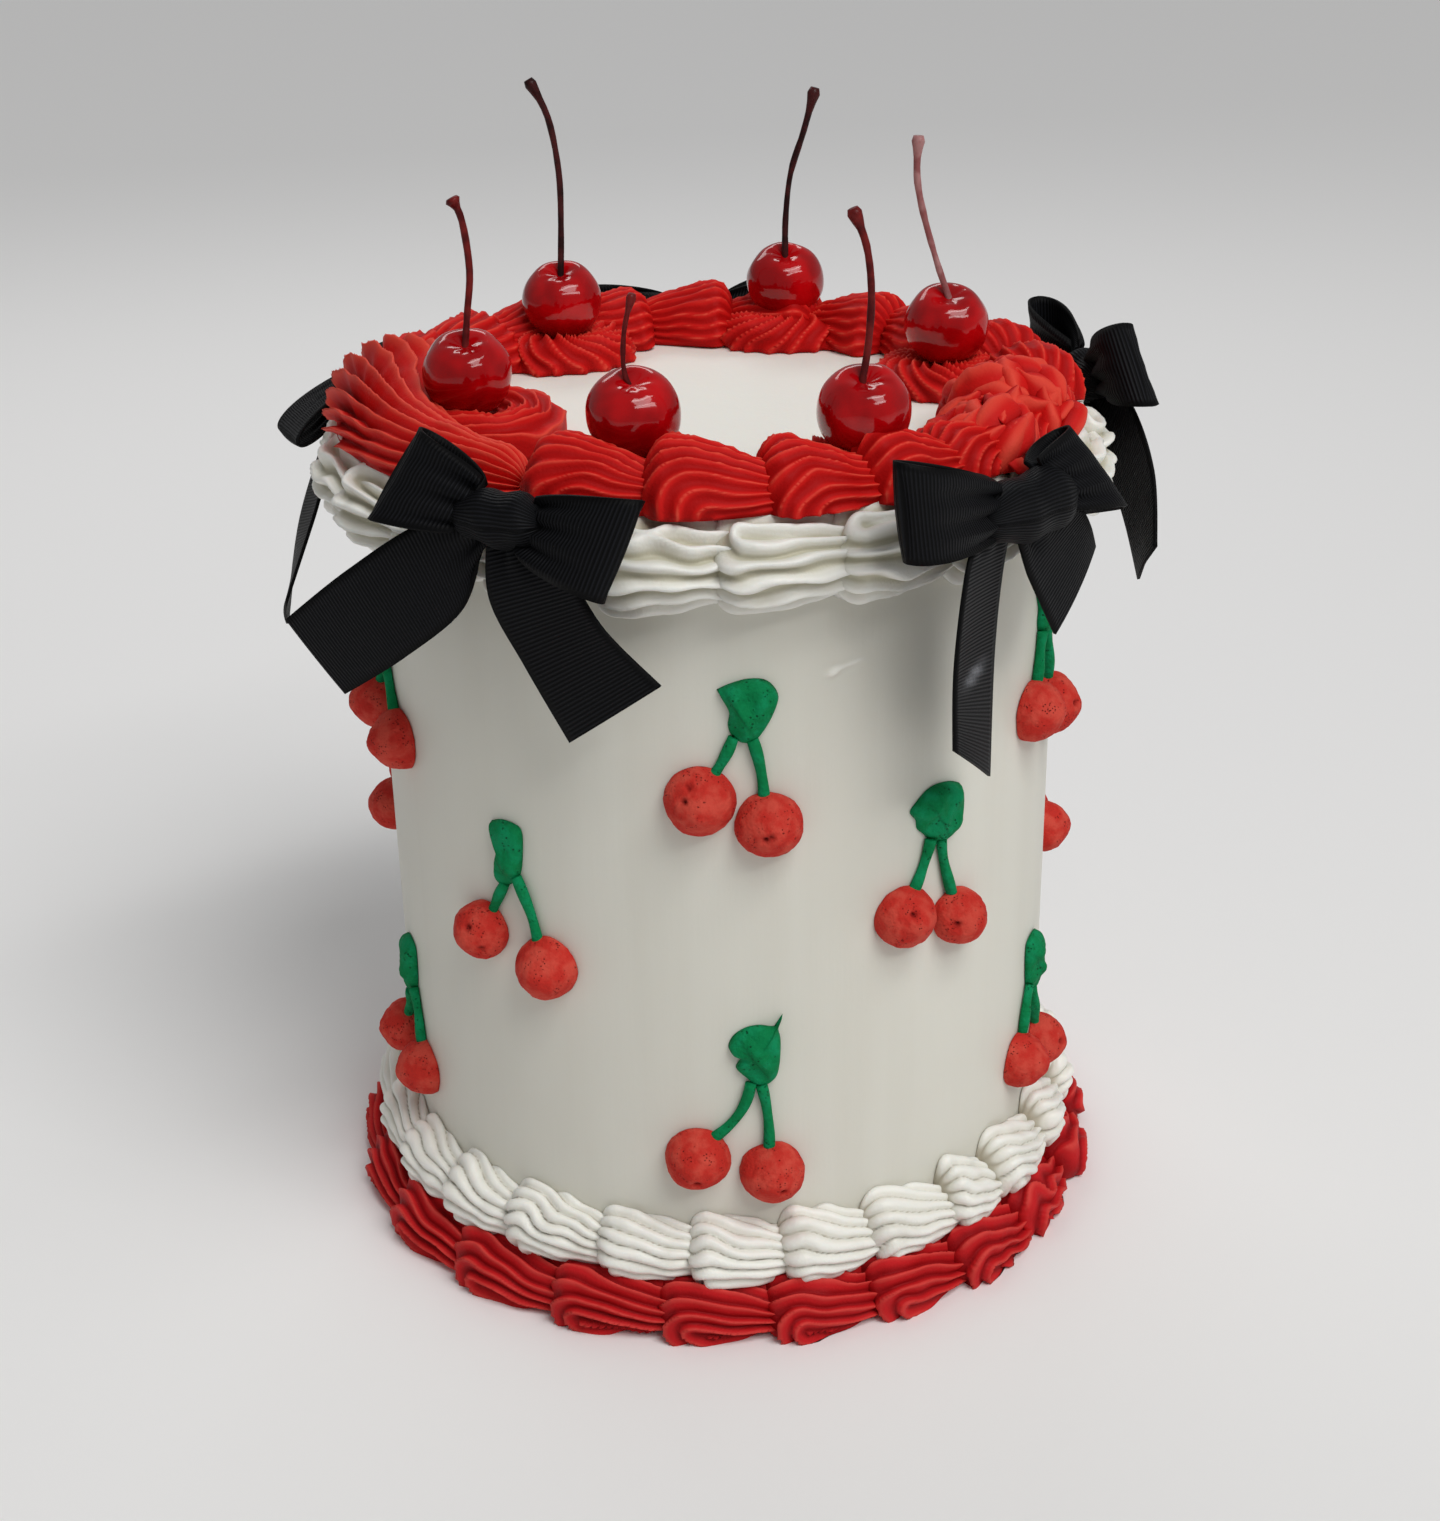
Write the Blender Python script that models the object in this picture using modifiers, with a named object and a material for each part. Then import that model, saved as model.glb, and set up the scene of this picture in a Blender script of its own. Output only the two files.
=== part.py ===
"""Tall iced celebration cake with piped borders, cherries, piped cherry motifs and ribbon bows.

The cake stands on z = 0 with its axis on the Z axis and its front towards -Y. An azimuth is
measured from the front towards +X, in degrees in the tables and in radians in the functions.
Places on the side of the cake are given as (along, up, proud): the distance round the side,
the height and the distance out from the icing.
"""
import math
import random
from dataclasses import dataclass

import bmesh
import bpy
from mathutils import Vector

MM = 0.001
GAP = 0.3 * MM
SEED = 7
MERGE_DISTANCES = (0.05 * MM, 0.01 * MM, 0.002 * MM, 0.0001 * MM)

# Iced body
BODY_RADIUS = 82 * MM
BODY_HEIGHT = 198 * MM
BODY_EDGE = 3 * MM
BODY_EDGE_STEPS = 2
BODY_SIDES = 48

# Seam between the two borders at the foot: its height at the icing and its slope outward
BASE_SEAM = 11.5 * MM
BASE_SEAM_SLOPE = 0.32

# Cherries
CHERRY_RADIUS = 10.2 * MM
CHERRY_HEIGHT = 213.5 * MM
CHERRY_SQUASH = 0.95
CHERRY_DIMPLE = 2.6 * MM
CHERRY_DIMPLE_ANGLE = 0.5
CHERRY_SEGMENTS = 10
CHERRY_RINGS = 6
STEM_RADIUS = 1.0 * MM
STEM_KNOB = 1.7
STEM_FOOT = 1.35

# Piped cherry motifs
BALL_SEGMENTS = 8
BALL_PROUD = 8.6 * MM
LEAF_WIDTH = 7.4 * MM
LEAF_LENGTH = 14.5 * MM
LEAF_PROUD = 3.6 * MM
LEAF_SEGMENTS = 8
STALK_RADIUS = 1.5 * MM
STALK_CLEAR = 0.5 * MM

# Ribbon
RIBBON_THICKNESS = 1.0 * MM
BOW_REFERENCE = 98 * MM
LOOP_STATIONS = 7
TAIL_STATIONS = 5
LOOP_OPEN = 0.07

SRGB = {
    "white_icing": (214, 209, 196),
    "red_icing": (197, 30, 28),
    "cherry_red": (140, 4, 14),
    "ball_red": (205, 57, 45),
    "leaf_green": (18, 122, 72),
    "black_ribbon": (22, 22, 25),
}
ROUGHNESS = {
    "white_icing": 0.55,
    "red_icing": 0.45,
    "cherry_red": 0.12,
    "ball_red": 0.8,
    "leaf_green": 0.75,
    "black_ribbon": 0.7,
}


@dataclass(frozen=True)
class Border:
    """One ring of piped shells, lofted through the sections of its shells.

    A section is an arc round a centre of (radius, height). Its angle is measured from straight
    down, turning outward. The ribs lie along the arc, with grooves between them.
    """

    name: str
    finish: str
    count: int
    start: float
    centre: tuple
    reach: tuple
    arc: tuple
    ribs: int
    groove: float
    valley: float
    twist: float
    bulge: float


BORDERS = (
    Border("top_white_border", "white_icing", 22, -0.7, (82.3, 188.6), (12.4, 10.4), (0, 180),
           3, 0.20, 0.66, -14, 0.28),
    Border("base_white_border", "white_icing", 25, -6.7, (82.3, 19.0), (9.8, 9.6), (0, 180),
           3, 0.20, 0.62, -12, 0.30),
    Border("base_red_border", "red_icing", 22, 5.0, (86.0, 4.5), (11.4, 11.0), (60, 196),
           3, 0.18, 0.62, -14, 0.25),
    Border("top_red_border", "red_icing", 21, 5.9, (76.0, 200.0), (14.0, 12.6), (84, 277),
           4, 0.17, 0.60, 18, 0.30),
)
SHELL_STATIONS = (0.0, 0.12, 0.40, 0.72)
SHELL_HEAD = 0.12

# Rosettes piped on the top: (azimuth, distance from the axis, radius, height, swirl)
ROSETTES = (
    (-66, 57, 20, 10.5, 0.9),
    (-144.4, 64, 17, 9.5, 0.7),
    (164.8, 73, 17, 9.5, 0.7),
    (107.6, 59, 17, 9.0, 0.7),
    (27.3, 67, 15, 9.0, 0.8),
    (-12.5, 62, 14, 9.0, 0.8),
    (68, 66, 20, 16.0, 1.1),
)
ROSETTE_RIBS = 6
ROSETTE_RINGS = 5
ROSETTE_GROOVE = 0.16

# Cherries: name, azimuth, distance from the axis, stem as (sideways, up) from the fruit's middle
CHERRIES = (
    ("cherry_front_left", -68.2, 59.1, ((0.2, 7), (0.9, 13.4), (1.9, 22.8), (0.9, 33.5), (-1.1, 38.5))),
    ("cherry_back_left", -144.4, 65.2, ((0.2, 7), (0.7, 19), (0.7, 31.8), (-1.4, 45), (-5.8, 54))),
    ("cherry_back", 164.8, 74.6, ((0, 7), (0.2, 16), (1.6, 27.5), (5, 38), (7.9, 48.5))),
    ("cherry_right", 107.6, 59.4, ((0, 7), (-2.8, 15), (-6.2, 26.5), (-7.8, 35), (-7.6, 44))),
    ("cherry_front_right", 27.3, 68.7, ((-0.5, 7), (0.7, 14.4), (1.3, 24.5), (0.2, 34), (-2.7, 41.5))),
    ("cherry_front", -15.4, 62.2, ((-0.5, 6.5), (-1.4, 8.5), (-1.8, 12), (-1.3, 18.2), (0.5, 25))),
)

# Motifs: name, azimuth and height of the joint, leaf lean, then each ball's (along, up, radius)
MOTIFS = (
    ("motif_front_high", 4.6, 147.7, -0.05, (-10.9, -13.1, 7.8), (3.8, -19.1, 7.4)),
    ("motif_front_low", 5.8, 62.1, -0.15, (-14.9, -18.2, 7.6), (2.0, -22.4, 7.5)),
    ("motif_right_middle", 35.8, 115.7, -0.3, (-9.0, -15.3, 7.2), (6.3, -19.7, 6.8)),
    ("motif_right_high", 66.5, 153.0, -0.1, (-7.4, -16.6, 7.4), (5.2, -19.4, 7.6)),
    ("motif_right_low", 68.5, 57.0, -0.2, (-10.0, -14.5, 6.9), (7.0, -18.0, 7.0)),
    ("motif_side_right", 99.5, 101.0, 0.2, (-8.5, -15.5, 6.8), (8.5, -18.5, 7.2)),
    ("motif_left_middle", -36.2, 107.0, 0.3, (-7.2, -12.8, 6.9), (10.7, -17.7, 7.4)),
    ("motif_left_high", -70.0, 149.5, 0.1, (-9.5, -15.5, 7.0), (9.0, -18.5, 7.2)),
    ("motif_left_low", -70.5, 58.0, 0.15, (-9.0, -14.0, 6.8), (8.6, -16.5, 7.0)),
    ("motif_side_left", -100.0, 114.0, -0.25, (-9.0, -16.5, 7.1), (8.6, -19.0, 6.9)),
    ("motif_back_right_high", 139.0, 150.0, 0.2, (-9.5, -14.0, 7.2), (7.0, -19.0, 7.5)),
    ("motif_back_right_low", 137.0, 60.5, -0.1, (-11.0, -16.5, 7.5), (5.0, -20.0, 7.2)),
    ("motif_back_middle", 177.5, 108.5, 0.25, (-7.5, -15.0, 7.0), (9.0, -18.5, 7.3)),
    ("motif_back_left_high", -141.5, 148.0, -0.2, (-8.0, -17.5, 7.3), (8.5, -14.5, 6.9)),
    ("motif_back_left_low", -143.0, 61.5, 0.1, (-10.5, -15.5, 7.1), (6.5, -20.5, 7.6)),
)
MERGED_MOTIF = "motif_right_high"

# Bows, in (along, up, proud) from the bow's azimuth and the reference radius. A loop is its
# root, root half width, tip, tip half-width vector and depth. A tail is its stations, each a
# centre and a half-width vector.
BOWS = {
    "bow_front_left": {
        "azimuth": -27,
        "knot": ((1.5, 200, 0), (10.5, 5.8, 5.5)),
        "loops": (
            ((-5, 202, 0), 5.5, (-22, 206.8, 1), (4.8, 9.2, -3.5), 4.6),
            ((8, 199, 0), 5.5, (30, 197, 1), (3.2, 10.0, -3.2), 5.0),
        ),
        "tails": (
            (((-1, 197, 0), (3, 6, 0)), ((-12, 188.5, 1.5), (-4, 9, 0)), ((-29, 176, 2), (-6.4, 8.8, 0)),
             ((-46.5, 163.4, 1), (-7.0, 7.5, 0))),
            (((4, 197, 0), (5, 1.5, 0)), ((9, 187, 2), (9.6, 3.6, 0)), ((15.6, 174.5, 0.5), (9.6, 5.2, 0)),
             ((25.2, 160.8, -2), (10.9, 8.0, 0))),
        ),
    },
    "bow_front_right": {
        "azimuth": 43,
        "knot": ((-3.5, 196, 0), (15, 7.2, 6)),
        "loops": (
            ((-12.5, 198, 0), 5.5, (-42, 203.5, 1), (-1.7, 10.7, 0), 6.0),
            ((4, 199, 0), 7.0, (21.5, 198.5, -2.5), (-7.0, 9.8, -3.0), 4.2),
        ),
        "tails": (
            (((-13, 196, 1), (5, 1, 1)), ((-17.5, 188, 1.5), (9.5, -1, -3)),
             ((-18.3, 167, 0), (10.4, -1.5, -3.6)), ((-17, 142, -1), (10.2, -7.2, -3.6))),
            (((1.5, 193, 0), (9.5, 3, -1)), ((6.8, 186, 0), (10.4, 4.6, -1.5)),
             ((11.5, 179.5, -0.5), (9.6, 6.2, -1.5)), ((16.2, 172.6, -1.5), (8.2, 7.6, -1.5))),
        ),
    },
    "bow_side_right": {
        "azimuth": 108,
        "knot": ((0, 197, 0), (10, 6, 5.5)),
        "loops": (
            ((-5, 198.5, 0), 5.5, (-23, 205, 1), (7.8, 8.2, 0), 6.0),
            ((6, 198, 0), 5.5, (30, 200, 1), (1.5, 10.6, 0), 6.0),
        ),
        "tails": (
            (((-3, 194, 0), (2, 6, 1)), ((-15, 186, 1.5), (-3, 8.5, 1)), ((-29, 174, 0.5), (-5.0, 8.0, 0.5)),
             ((-38.5, 160.5, -1.5), (-5.5, 6.0, -1))),
            (((4, 194, 0), (6, 2, 0)), ((8, 184, 1), (9.8, 3.0, 0)), ((13, 170, 0), (9.9, 4.0, 0)),
             ((19, 155.5, -1.5), (10.2, 5.5, 0))),
        ),
    },
    "bow_back": {
        "azimuth": 182,
        "knot": ((0, 198, 0), (10.5, 6, 5.5)),
        "loops": (
            ((-6, 199, 0), 5.5, (-30, 202, 1), (-1.5, 10.6, 0), 6.0),
            ((6, 199, 0), 5.5, (29, 197, 1), (2.5, 10.3, 0), 6.0),
        ),
        "tails": (
            (((-3, 195, 0), (5, -2, 0)), ((-8, 186, 1.5), (9.8, -3.0, 0)), ((-14, 172, 0.5), (9.8, -4.4, 0)),
             ((-22, 157.5, -1.5), (10.4, -6.5, 0))),
            (((3, 195, 0), (5, 2, 0)), ((10, 187, 1.5), (8.8, 5.4, 0)), ((21, 176.5, 1.5), (7.6, 7.4, 0)),
             ((34, 165, 0), (6.8, 8.6, 0))),
        ),
    },
    "bow_side_left": {
        "azimuth": -116,
        "knot": ((-2, 196, 0), (9, 5.6, 5)),
        "loops": (
            ((-7, 197, 0), 5.5, (-27, 195, 1), (1.5, 10.6, 0), 6.0),
            ((4, 197.5, 0), 4.5, (34, 190.5, 0), (-6.6, -0.4, 7.6), 3.0),
        ),
        "tails": (
            (((-5, 193, 0), (5, -2, 0)), ((-10, 184, 1), (9.6, -3.6, 0)), ((-17, 171, 0), (9.6, -4.6, 0)),
             ((-26, 158, -1.5), (9.6, -6.6, 0))),
            (((3, 193, 0), (4, 2, 2)), ((14, 184, 2), (-5, -3, 6.4)), ((29, 167, 1), (-6, -3, 6.6)),
             ((44, 149, -2), (-6, -6, 5))),
        ),
    },
}

random_source = random.Random(SEED)


def clear_scene():
    """Empty the scene and the collections left from an earlier run."""
    for item in list(bpy.data.objects):
        bpy.data.objects.remove(item, do_unlink=True)
    for collection in list(bpy.data.collections):
        bpy.data.collections.remove(collection)


def new_collection(name):
    """Make a collection in the scene."""
    collection = bpy.data.collections.new(name)
    bpy.context.scene.collection.children.link(collection)
    return collection


def linear(channel):
    """Turn an 8-bit sRGB channel into a linear value."""
    value = channel / 255
    return value / 12.92 if value <= 0.04045 else ((value + 0.055) / 1.055) ** 2.4


def finish(name):
    """Return the named material, made on first use."""
    material = bpy.data.materials.get(name)
    if material is None:
        material = bpy.data.materials.new(name)
        material.use_nodes = True
        shader = material.node_tree.nodes["Principled BSDF"]
        shader.inputs["Base Color"].default_value = (*[linear(channel) for channel in SRGB[name]], 1)
        shader.inputs["Roughness"].default_value = ROUGHNESS[name]
        shader.inputs["Metallic"].default_value = 0
        material.diffuse_color = shader.inputs["Base Color"].default_value
    return material


def ring_point(azimuth, radius, height):
    """Point at an azimuth in radians, measured from the front towards +X."""
    return Vector((radius * math.sin(azimuth), -radius * math.cos(azimuth), height))


def on_side(azimuth, along, height, proud):
    """Point on the side of the cake, 'along' round it from an azimuth and 'proud' of the icing."""
    return ring_point(azimuth + along / BODY_RADIUS, BODY_RADIUS + proud, height)


def face_outward(mesh):
    """Point all faces of a closed mesh outward."""
    bmesh.ops.recalc_face_normals(mesh, faces=mesh.faces)
    if mesh.calc_volume(signed=True) < 0:
        bmesh.ops.reverse_faces(mesh, faces=mesh.faces)


def add_object(name, collection, mesh, finish_name=None):
    """Turn a bmesh into an object with its outward faces and its material."""
    face_outward(mesh)
    data = bpy.data.meshes.new(name)
    mesh.to_mesh(data)
    mesh.free()
    item = bpy.data.objects.new(name, data)
    collection.objects.link(item)
    if finish_name:
        data.materials.append(finish(finish_name))
    return item


def sphere_points(mesh):
    """Yield each vertex of a unit sphere with its share of the way from pole to pole and its angle."""
    for vertex in mesh.verts:
        share = math.acos(max(-1.0, min(1.0, vertex.co.z))) / math.pi
        yield vertex, share, math.atan2(vertex.co.y, vertex.co.x)


def rib_factor(angle, ribs, groove):
    """Radius factor of a star nozzle's ribs: 1 on a rib and less in a groove."""
    step = round(angle / (math.pi / ribs))
    return 1.0 if step % 2 == 0 else 1.0 - groove


def shell_size(along, valley):
    """Size along one shell, from its steep head to its thin tail, as a share of the fullest."""
    if along < SHELL_HEAD:
        rise = math.sin(0.5 * math.pi * along / SHELL_HEAD)
    else:
        rise = 1 - ((along - SHELL_HEAD) / (1 - SHELL_HEAD)) ** 1.7
    return valley + (1 - valley) * rise


def base_seam_height(radius):
    """Height of the seam between the two borders at the foot."""
    return BASE_SEAM + (radius - BODY_RADIUS) * BASE_SEAM_SLOPE


def kept_to_space(name, radius, height):
    """Move a point of a border clear of the icing, of the ground and of its neighbour."""
    if name == "top_red_border":
        return radius, max(height, BODY_HEIGHT + GAP)
    radius = max(radius, BODY_RADIUS + GAP)
    if name == "top_white_border":
        return radius, min(height, BODY_HEIGHT)
    if name == "base_white_border":
        return radius, max(height, base_seam_height(radius) + 0.5 * GAP)
    return radius, max(0.0, min(height, base_seam_height(radius) - 0.5 * GAP))


def border_section(border, along, size, shift):
    """Points (radius, height, bend) of the section at one place along a shell."""
    first, last = (math.radians(angle) for angle in border.arc)
    scale = size * shell_size(along, border.valley)
    points = []
    steps = 2 * border.ribs
    for step in range(steps + 1):
        place = step / steps
        inner = 0 < step < steps
        angle = first + (last - first) * place
        if inner:
            angle += math.radians(border.twist) * (along - 0.5)
        factor = 1 - border.groove if inner and step % 2 == 0 else 1.0
        radius = (border.centre[0] + border.reach[0] * scale * factor * math.sin(angle)) * MM
        height = (border.centre[1] + shift - border.reach[1] * scale * factor * math.cos(angle)) * MM
        bend = border.bulge * (1 - along) * (2 * place - 1) ** 2
        points.append((*kept_to_space(border.name, radius, height), bend))
    if border.name == "base_red_border":
        points.append((BODY_RADIUS + GAP, 0.0, 0.0))
    return points


def border_ring(border, collection):
    """A torus drawn out into the ring of shells of one border."""
    stations = border.count * len(SHELL_STATIONS)
    corners = len(border_section(border, 0, 1, 0))
    bpy.ops.mesh.primitive_torus_add(major_segments=stations, minor_segments=corners,
                                     major_radius=1, minor_radius=0.25)
    ring = bpy.context.active_object
    for owner in list(ring.users_collection):
        owner.objects.unlink(ring)
    collection.objects.link(ring)
    pitch = 2 * math.pi / border.count
    for shell in range(border.count):
        size = random_source.uniform(0.93, 1.04)
        shift = random_source.uniform(-0.6, 0.6)
        slip = random_source.uniform(-0.06, 0.06)
        for order, along in enumerate(SHELL_STATIONS):
            section = border_section(border, along, size, shift)
            for corner, (radius, height, bend) in enumerate(section):
                azimuth = math.radians(border.start) + pitch * (shell + along + slip + bend)
                index = (shell * len(SHELL_STATIONS) + order) * corners + corner
                ring.data.vertices[index].co = ring_point(azimuth, radius, height)
    mesh = bmesh.new()
    mesh.from_mesh(ring.data)
    bmesh.ops.triangulate(mesh, faces=mesh.faces)
    face_outward(mesh)
    mesh.to_mesh(ring.data)
    mesh.free()
    ring.name = border.name
    return ring


def rosette_mesh(azimuth, distance, radius, height, swirl):
    """A low piped swirl with ribs that wind in towards its middle."""
    mesh = bmesh.new()
    bmesh.ops.create_uvsphere(mesh, u_segments=2 * ROSETTE_RIBS, v_segments=ROSETTE_RINGS, radius=1)
    centre = ring_point(math.radians(azimuth), distance * MM, BODY_HEIGHT)
    for vertex, share, angle in sphere_points(mesh):
        turn = angle + swirl * math.cos(math.pi * share)
        rib = rib_factor(angle, ROSETTE_RIBS, ROSETTE_GROOVE)
        reach = radius * MM * math.sin(math.pi * share) ** 0.8 * rib
        rise = max(GAP, height * MM * math.cos(math.pi * share) * (0.5 + 0.5 * rib))
        vertex.co = centre + Vector((reach * math.cos(turn), reach * math.sin(turn), rise))
    return mesh


def turned(name, collection, profile, steps):
    """A turned solid: a profile of (radius, height) points, top to bottom, round the Z axis."""
    mesh = bmesh.new()
    points = [mesh.verts.new((radius, 0, height)) for radius, height in profile]
    for first, second in zip(points, points[1:]):
        mesh.edges.new((first, second))
    if profile[0][0] > 0:
        mesh.edges.new((points[-1], points[0]))
    data = bpy.data.meshes.new(name)
    mesh.to_mesh(data)
    mesh.free()
    item = bpy.data.objects.new(name, data)
    collection.objects.link(item)
    screw = item.modifiers.new("turn", "SCREW")
    screw.axis = "Z"
    screw.steps = steps
    screw.render_steps = steps
    screw.use_merge_vertices = True
    screw.merge_threshold = 0.00001
    screw.use_normal_calculate = True
    apply_all(item)
    solid = bmesh.new()
    solid.from_mesh(item.data)
    face_outward(solid)
    solid.to_mesh(item.data)
    solid.free()
    return item


def hide_cutter(item):
    """Mark an object as a cutter."""
    item.hide_render = True
    item.display_type = "WIRE"
    return item


def add_boolean(item, operation, operand):
    """Add an exact Boolean with an object or a collection."""
    modifier = item.modifiers.new(operation.lower(), "BOOLEAN")
    modifier.operation = operation
    modifier.solver = "EXACT"
    if isinstance(operand, bpy.types.Collection):
        modifier.operand_type = "COLLECTION"
        modifier.collection = operand
    else:
        modifier.object = operand


def apply_all(item):
    """Apply an object's modifiers."""
    depsgraph = bpy.context.evaluated_depsgraph_get()
    mesh = bpy.data.meshes.new_from_object(item.evaluated_get(depsgraph))
    item.modifiers.clear()
    item.data = mesh


def islands_of(mesh):
    """Vertex sets of a mesh's separate bodies."""
    unseen = set(mesh.verts)
    islands = []
    while unseen:
        front = [unseen.pop()]
        island = set(front)
        while front:
            for edge in front.pop().link_edges:
                for other in edge.verts:
                    if other in unseen:
                        unseen.remove(other)
                        island.add(other)
                        front.append(other)
        islands.append(island)
    return islands


def cleaned(data, merge):
    """Copy of a mesh, triangulated, with its closest points merged and loose scraps dropped."""
    mesh = bmesh.new()
    mesh.from_mesh(data)
    bmesh.ops.remove_doubles(mesh, verts=mesh.verts, dist=merge)
    bmesh.ops.dissolve_degenerate(mesh, edges=mesh.edges, dist=merge)
    bmesh.ops.triangulate(mesh, faces=mesh.faces)
    islands = islands_of(mesh)
    main = max(islands, key=len)
    scraps = [vertex for island in islands if island is not main for vertex in island]
    bmesh.ops.delete(mesh, geom=scraps, context="VERTS")
    return mesh


def keep_main_body(item):
    """Clean an object's mesh, with the widest merging that leaves it one closed body."""
    for merge in MERGE_DISTANCES:
        mesh = cleaned(item.data, merge)
        if all(len(edge.link_faces) == 2 for edge in mesh.edges):
            break
    mesh.to_mesh(item.data)
    mesh.free()


def joined(name, collection, pieces, finish_name):
    """Join the pieces of one sub-part with one Boolean union on a collection."""
    group = bpy.data.collections.new(name + "_pieces")
    bpy.context.scene.collection.children.link(group)
    main = pieces[0]
    for piece in pieces[1:]:
        for owner in list(piece.users_collection):
            owner.objects.unlink(piece)
        group.objects.link(piece)
    add_boolean(main, "UNION", group)
    apply_all(main)
    for piece in list(group.objects):
        bpy.data.objects.remove(piece, do_unlink=True)
    bpy.data.collections.remove(group)
    for owner in list(main.users_collection):
        owner.objects.unlink(main)
    collection.objects.link(main)
    main.name = name
    main.data.materials.clear()
    if finish_name:
        main.data.materials.append(finish(finish_name))
    return main


def build_body(parts):
    """The iced cake itself, with a softly rounded top edge."""
    profile = [(0, BODY_HEIGHT)]
    for step in range(BODY_EDGE_STEPS + 1):
        angle = 0.5 * math.pi * step / BODY_EDGE_STEPS
        profile.append((BODY_RADIUS - BODY_EDGE * (1 - math.sin(angle)),
                        BODY_HEIGHT - BODY_EDGE * (1 - math.cos(angle))))
    profile += [(BODY_RADIUS, 0), (0, 0)]
    body = turned("cake_body", parts, profile, BODY_SIDES)
    body.data.materials.append(finish("white_icing"))
    body.data.shade_smooth()
    body.data.set_sharp_from_angle(angle=math.radians(40))


def cherry_fruit(azimuth, distance, grow):
    """A cherry, slightly squat, with a dimple for its stem."""
    mesh = bmesh.new()
    bmesh.ops.create_uvsphere(mesh, u_segments=CHERRY_SEGMENTS, v_segments=CHERRY_RINGS, radius=1)
    centre = ring_point(azimuth, distance, CHERRY_HEIGHT)
    for vertex, share, _ in sphere_points(mesh):
        angle = math.pi * share
        dimple = CHERRY_DIMPLE * math.exp(-(angle / CHERRY_DIMPLE_ANGLE) ** 2)
        flat = Vector((vertex.co.x, vertex.co.y, 0)) * (CHERRY_RADIUS + grow)
        rise = (CHERRY_RADIUS + grow) * CHERRY_SQUASH * math.cos(angle) - dimple
        vertex.co = centre + flat + Vector((0, 0, rise))
    return mesh


def curve_tube(name, collection, points, radii, depth, resolution):
    """A round tube through points, as a mesh with welded caps."""
    data = bpy.data.curves.new(name, "CURVE")
    data.dimensions = "3D"
    data.bevel_depth = depth
    data.bevel_resolution = resolution
    data.use_fill_caps = True
    spline = data.splines.new("POLY")
    spline.points.add(len(points) - 1)
    for target, point, radius in zip(spline.points, points, radii):
        target.co = (*point, 1)
        target.radius = radius
    curve = bpy.data.objects.new(name + "_curve", data)
    collection.objects.link(curve)
    depsgraph = bpy.context.evaluated_depsgraph_get()
    mesh_data = bpy.data.meshes.new_from_object(curve.evaluated_get(depsgraph))
    bpy.data.objects.remove(curve, do_unlink=True)
    mesh = bmesh.new()
    mesh.from_mesh(mesh_data)
    bmesh.ops.remove_doubles(mesh, verts=mesh.verts, dist=0.01 * MM)
    return mesh


def build_cherry(parts, name, azimuth, distance, stem):
    """One maraschino cherry with its stem."""
    azimuth = math.radians(azimuth)
    centre = ring_point(azimuth, distance * MM, CHERRY_HEIGHT)
    fruit = add_object(name + "_fruit", parts, cherry_fruit(azimuth, distance * MM, 0))
    points = [centre + Vector((sideways * MM, 0, up * MM)) for sideways, up in stem]
    radii = [STEM_FOOT] + [1.0] * (len(points) - 2) + [STEM_KNOB]
    tube = curve_tube(name + "_stem", parts, points, radii, STEM_RADIUS, 1)
    stalk = add_object(name + "_stem", parts, tube)
    cherry = joined(name, parts, [fruit, stalk], "cherry_red")
    keep_main_body(cherry)
    cherry.data.shade_smooth()


def build_ball(azimuth, height, ball):
    """A piped dollop on the side, round from the front and flat at the back."""
    along, up, radius = (value * MM for value in ball)
    mesh = bmesh.new()
    bmesh.ops.create_uvsphere(mesh, u_segments=BALL_SEGMENTS, v_segments=4, radius=1)
    levels = {0: (0, 1.0), 1: (0.70, 0.80), 2: (1.0, 0.34), 3: (0.88, 0), 4: (0, 0)}
    for vertex, share, angle in sphere_points(mesh):
        level = round(4 * share)
        reach, rise = levels[level]
        reach *= radius * random_source.uniform(0.97, 1.03)
        sideways = along + reach * math.cos(angle)
        upward = height + up + reach * math.sin(angle)
        vertex.co = on_side(azimuth, sideways, upward, GAP + rise * BALL_PROUD)
    return mesh


def build_leaf(azimuth, height, lean):
    """A piped leaf on the side, widest above its middle, with its tip at the joint."""
    mesh = bmesh.new()
    bmesh.ops.create_uvsphere(mesh, u_segments=LEAF_SEGMENTS, v_segments=4, radius=1)
    levels = {0: (0, 1.0), 1: (0.62, 0.9), 2: (1.0, 0.45), 3: (0.95, 0), 4: (0, 0)}
    for vertex, share, angle in sphere_points(mesh):
        reach, rise = levels[round(4 * share)]
        upward = reach * math.sin(angle)
        broad = 0.80 + 0.45 * upward
        across = reach * math.cos(angle) * LEAF_WIDTH * broad
        above = 0.5 * LEAF_LENGTH * (1 + upward)
        along = across + above * math.tan(lean)
        proud = GAP + rise * LEAF_PROUD
        vertex.co = on_side(azimuth, along, height + above - 1.5 * MM, proud)
    return mesh


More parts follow.
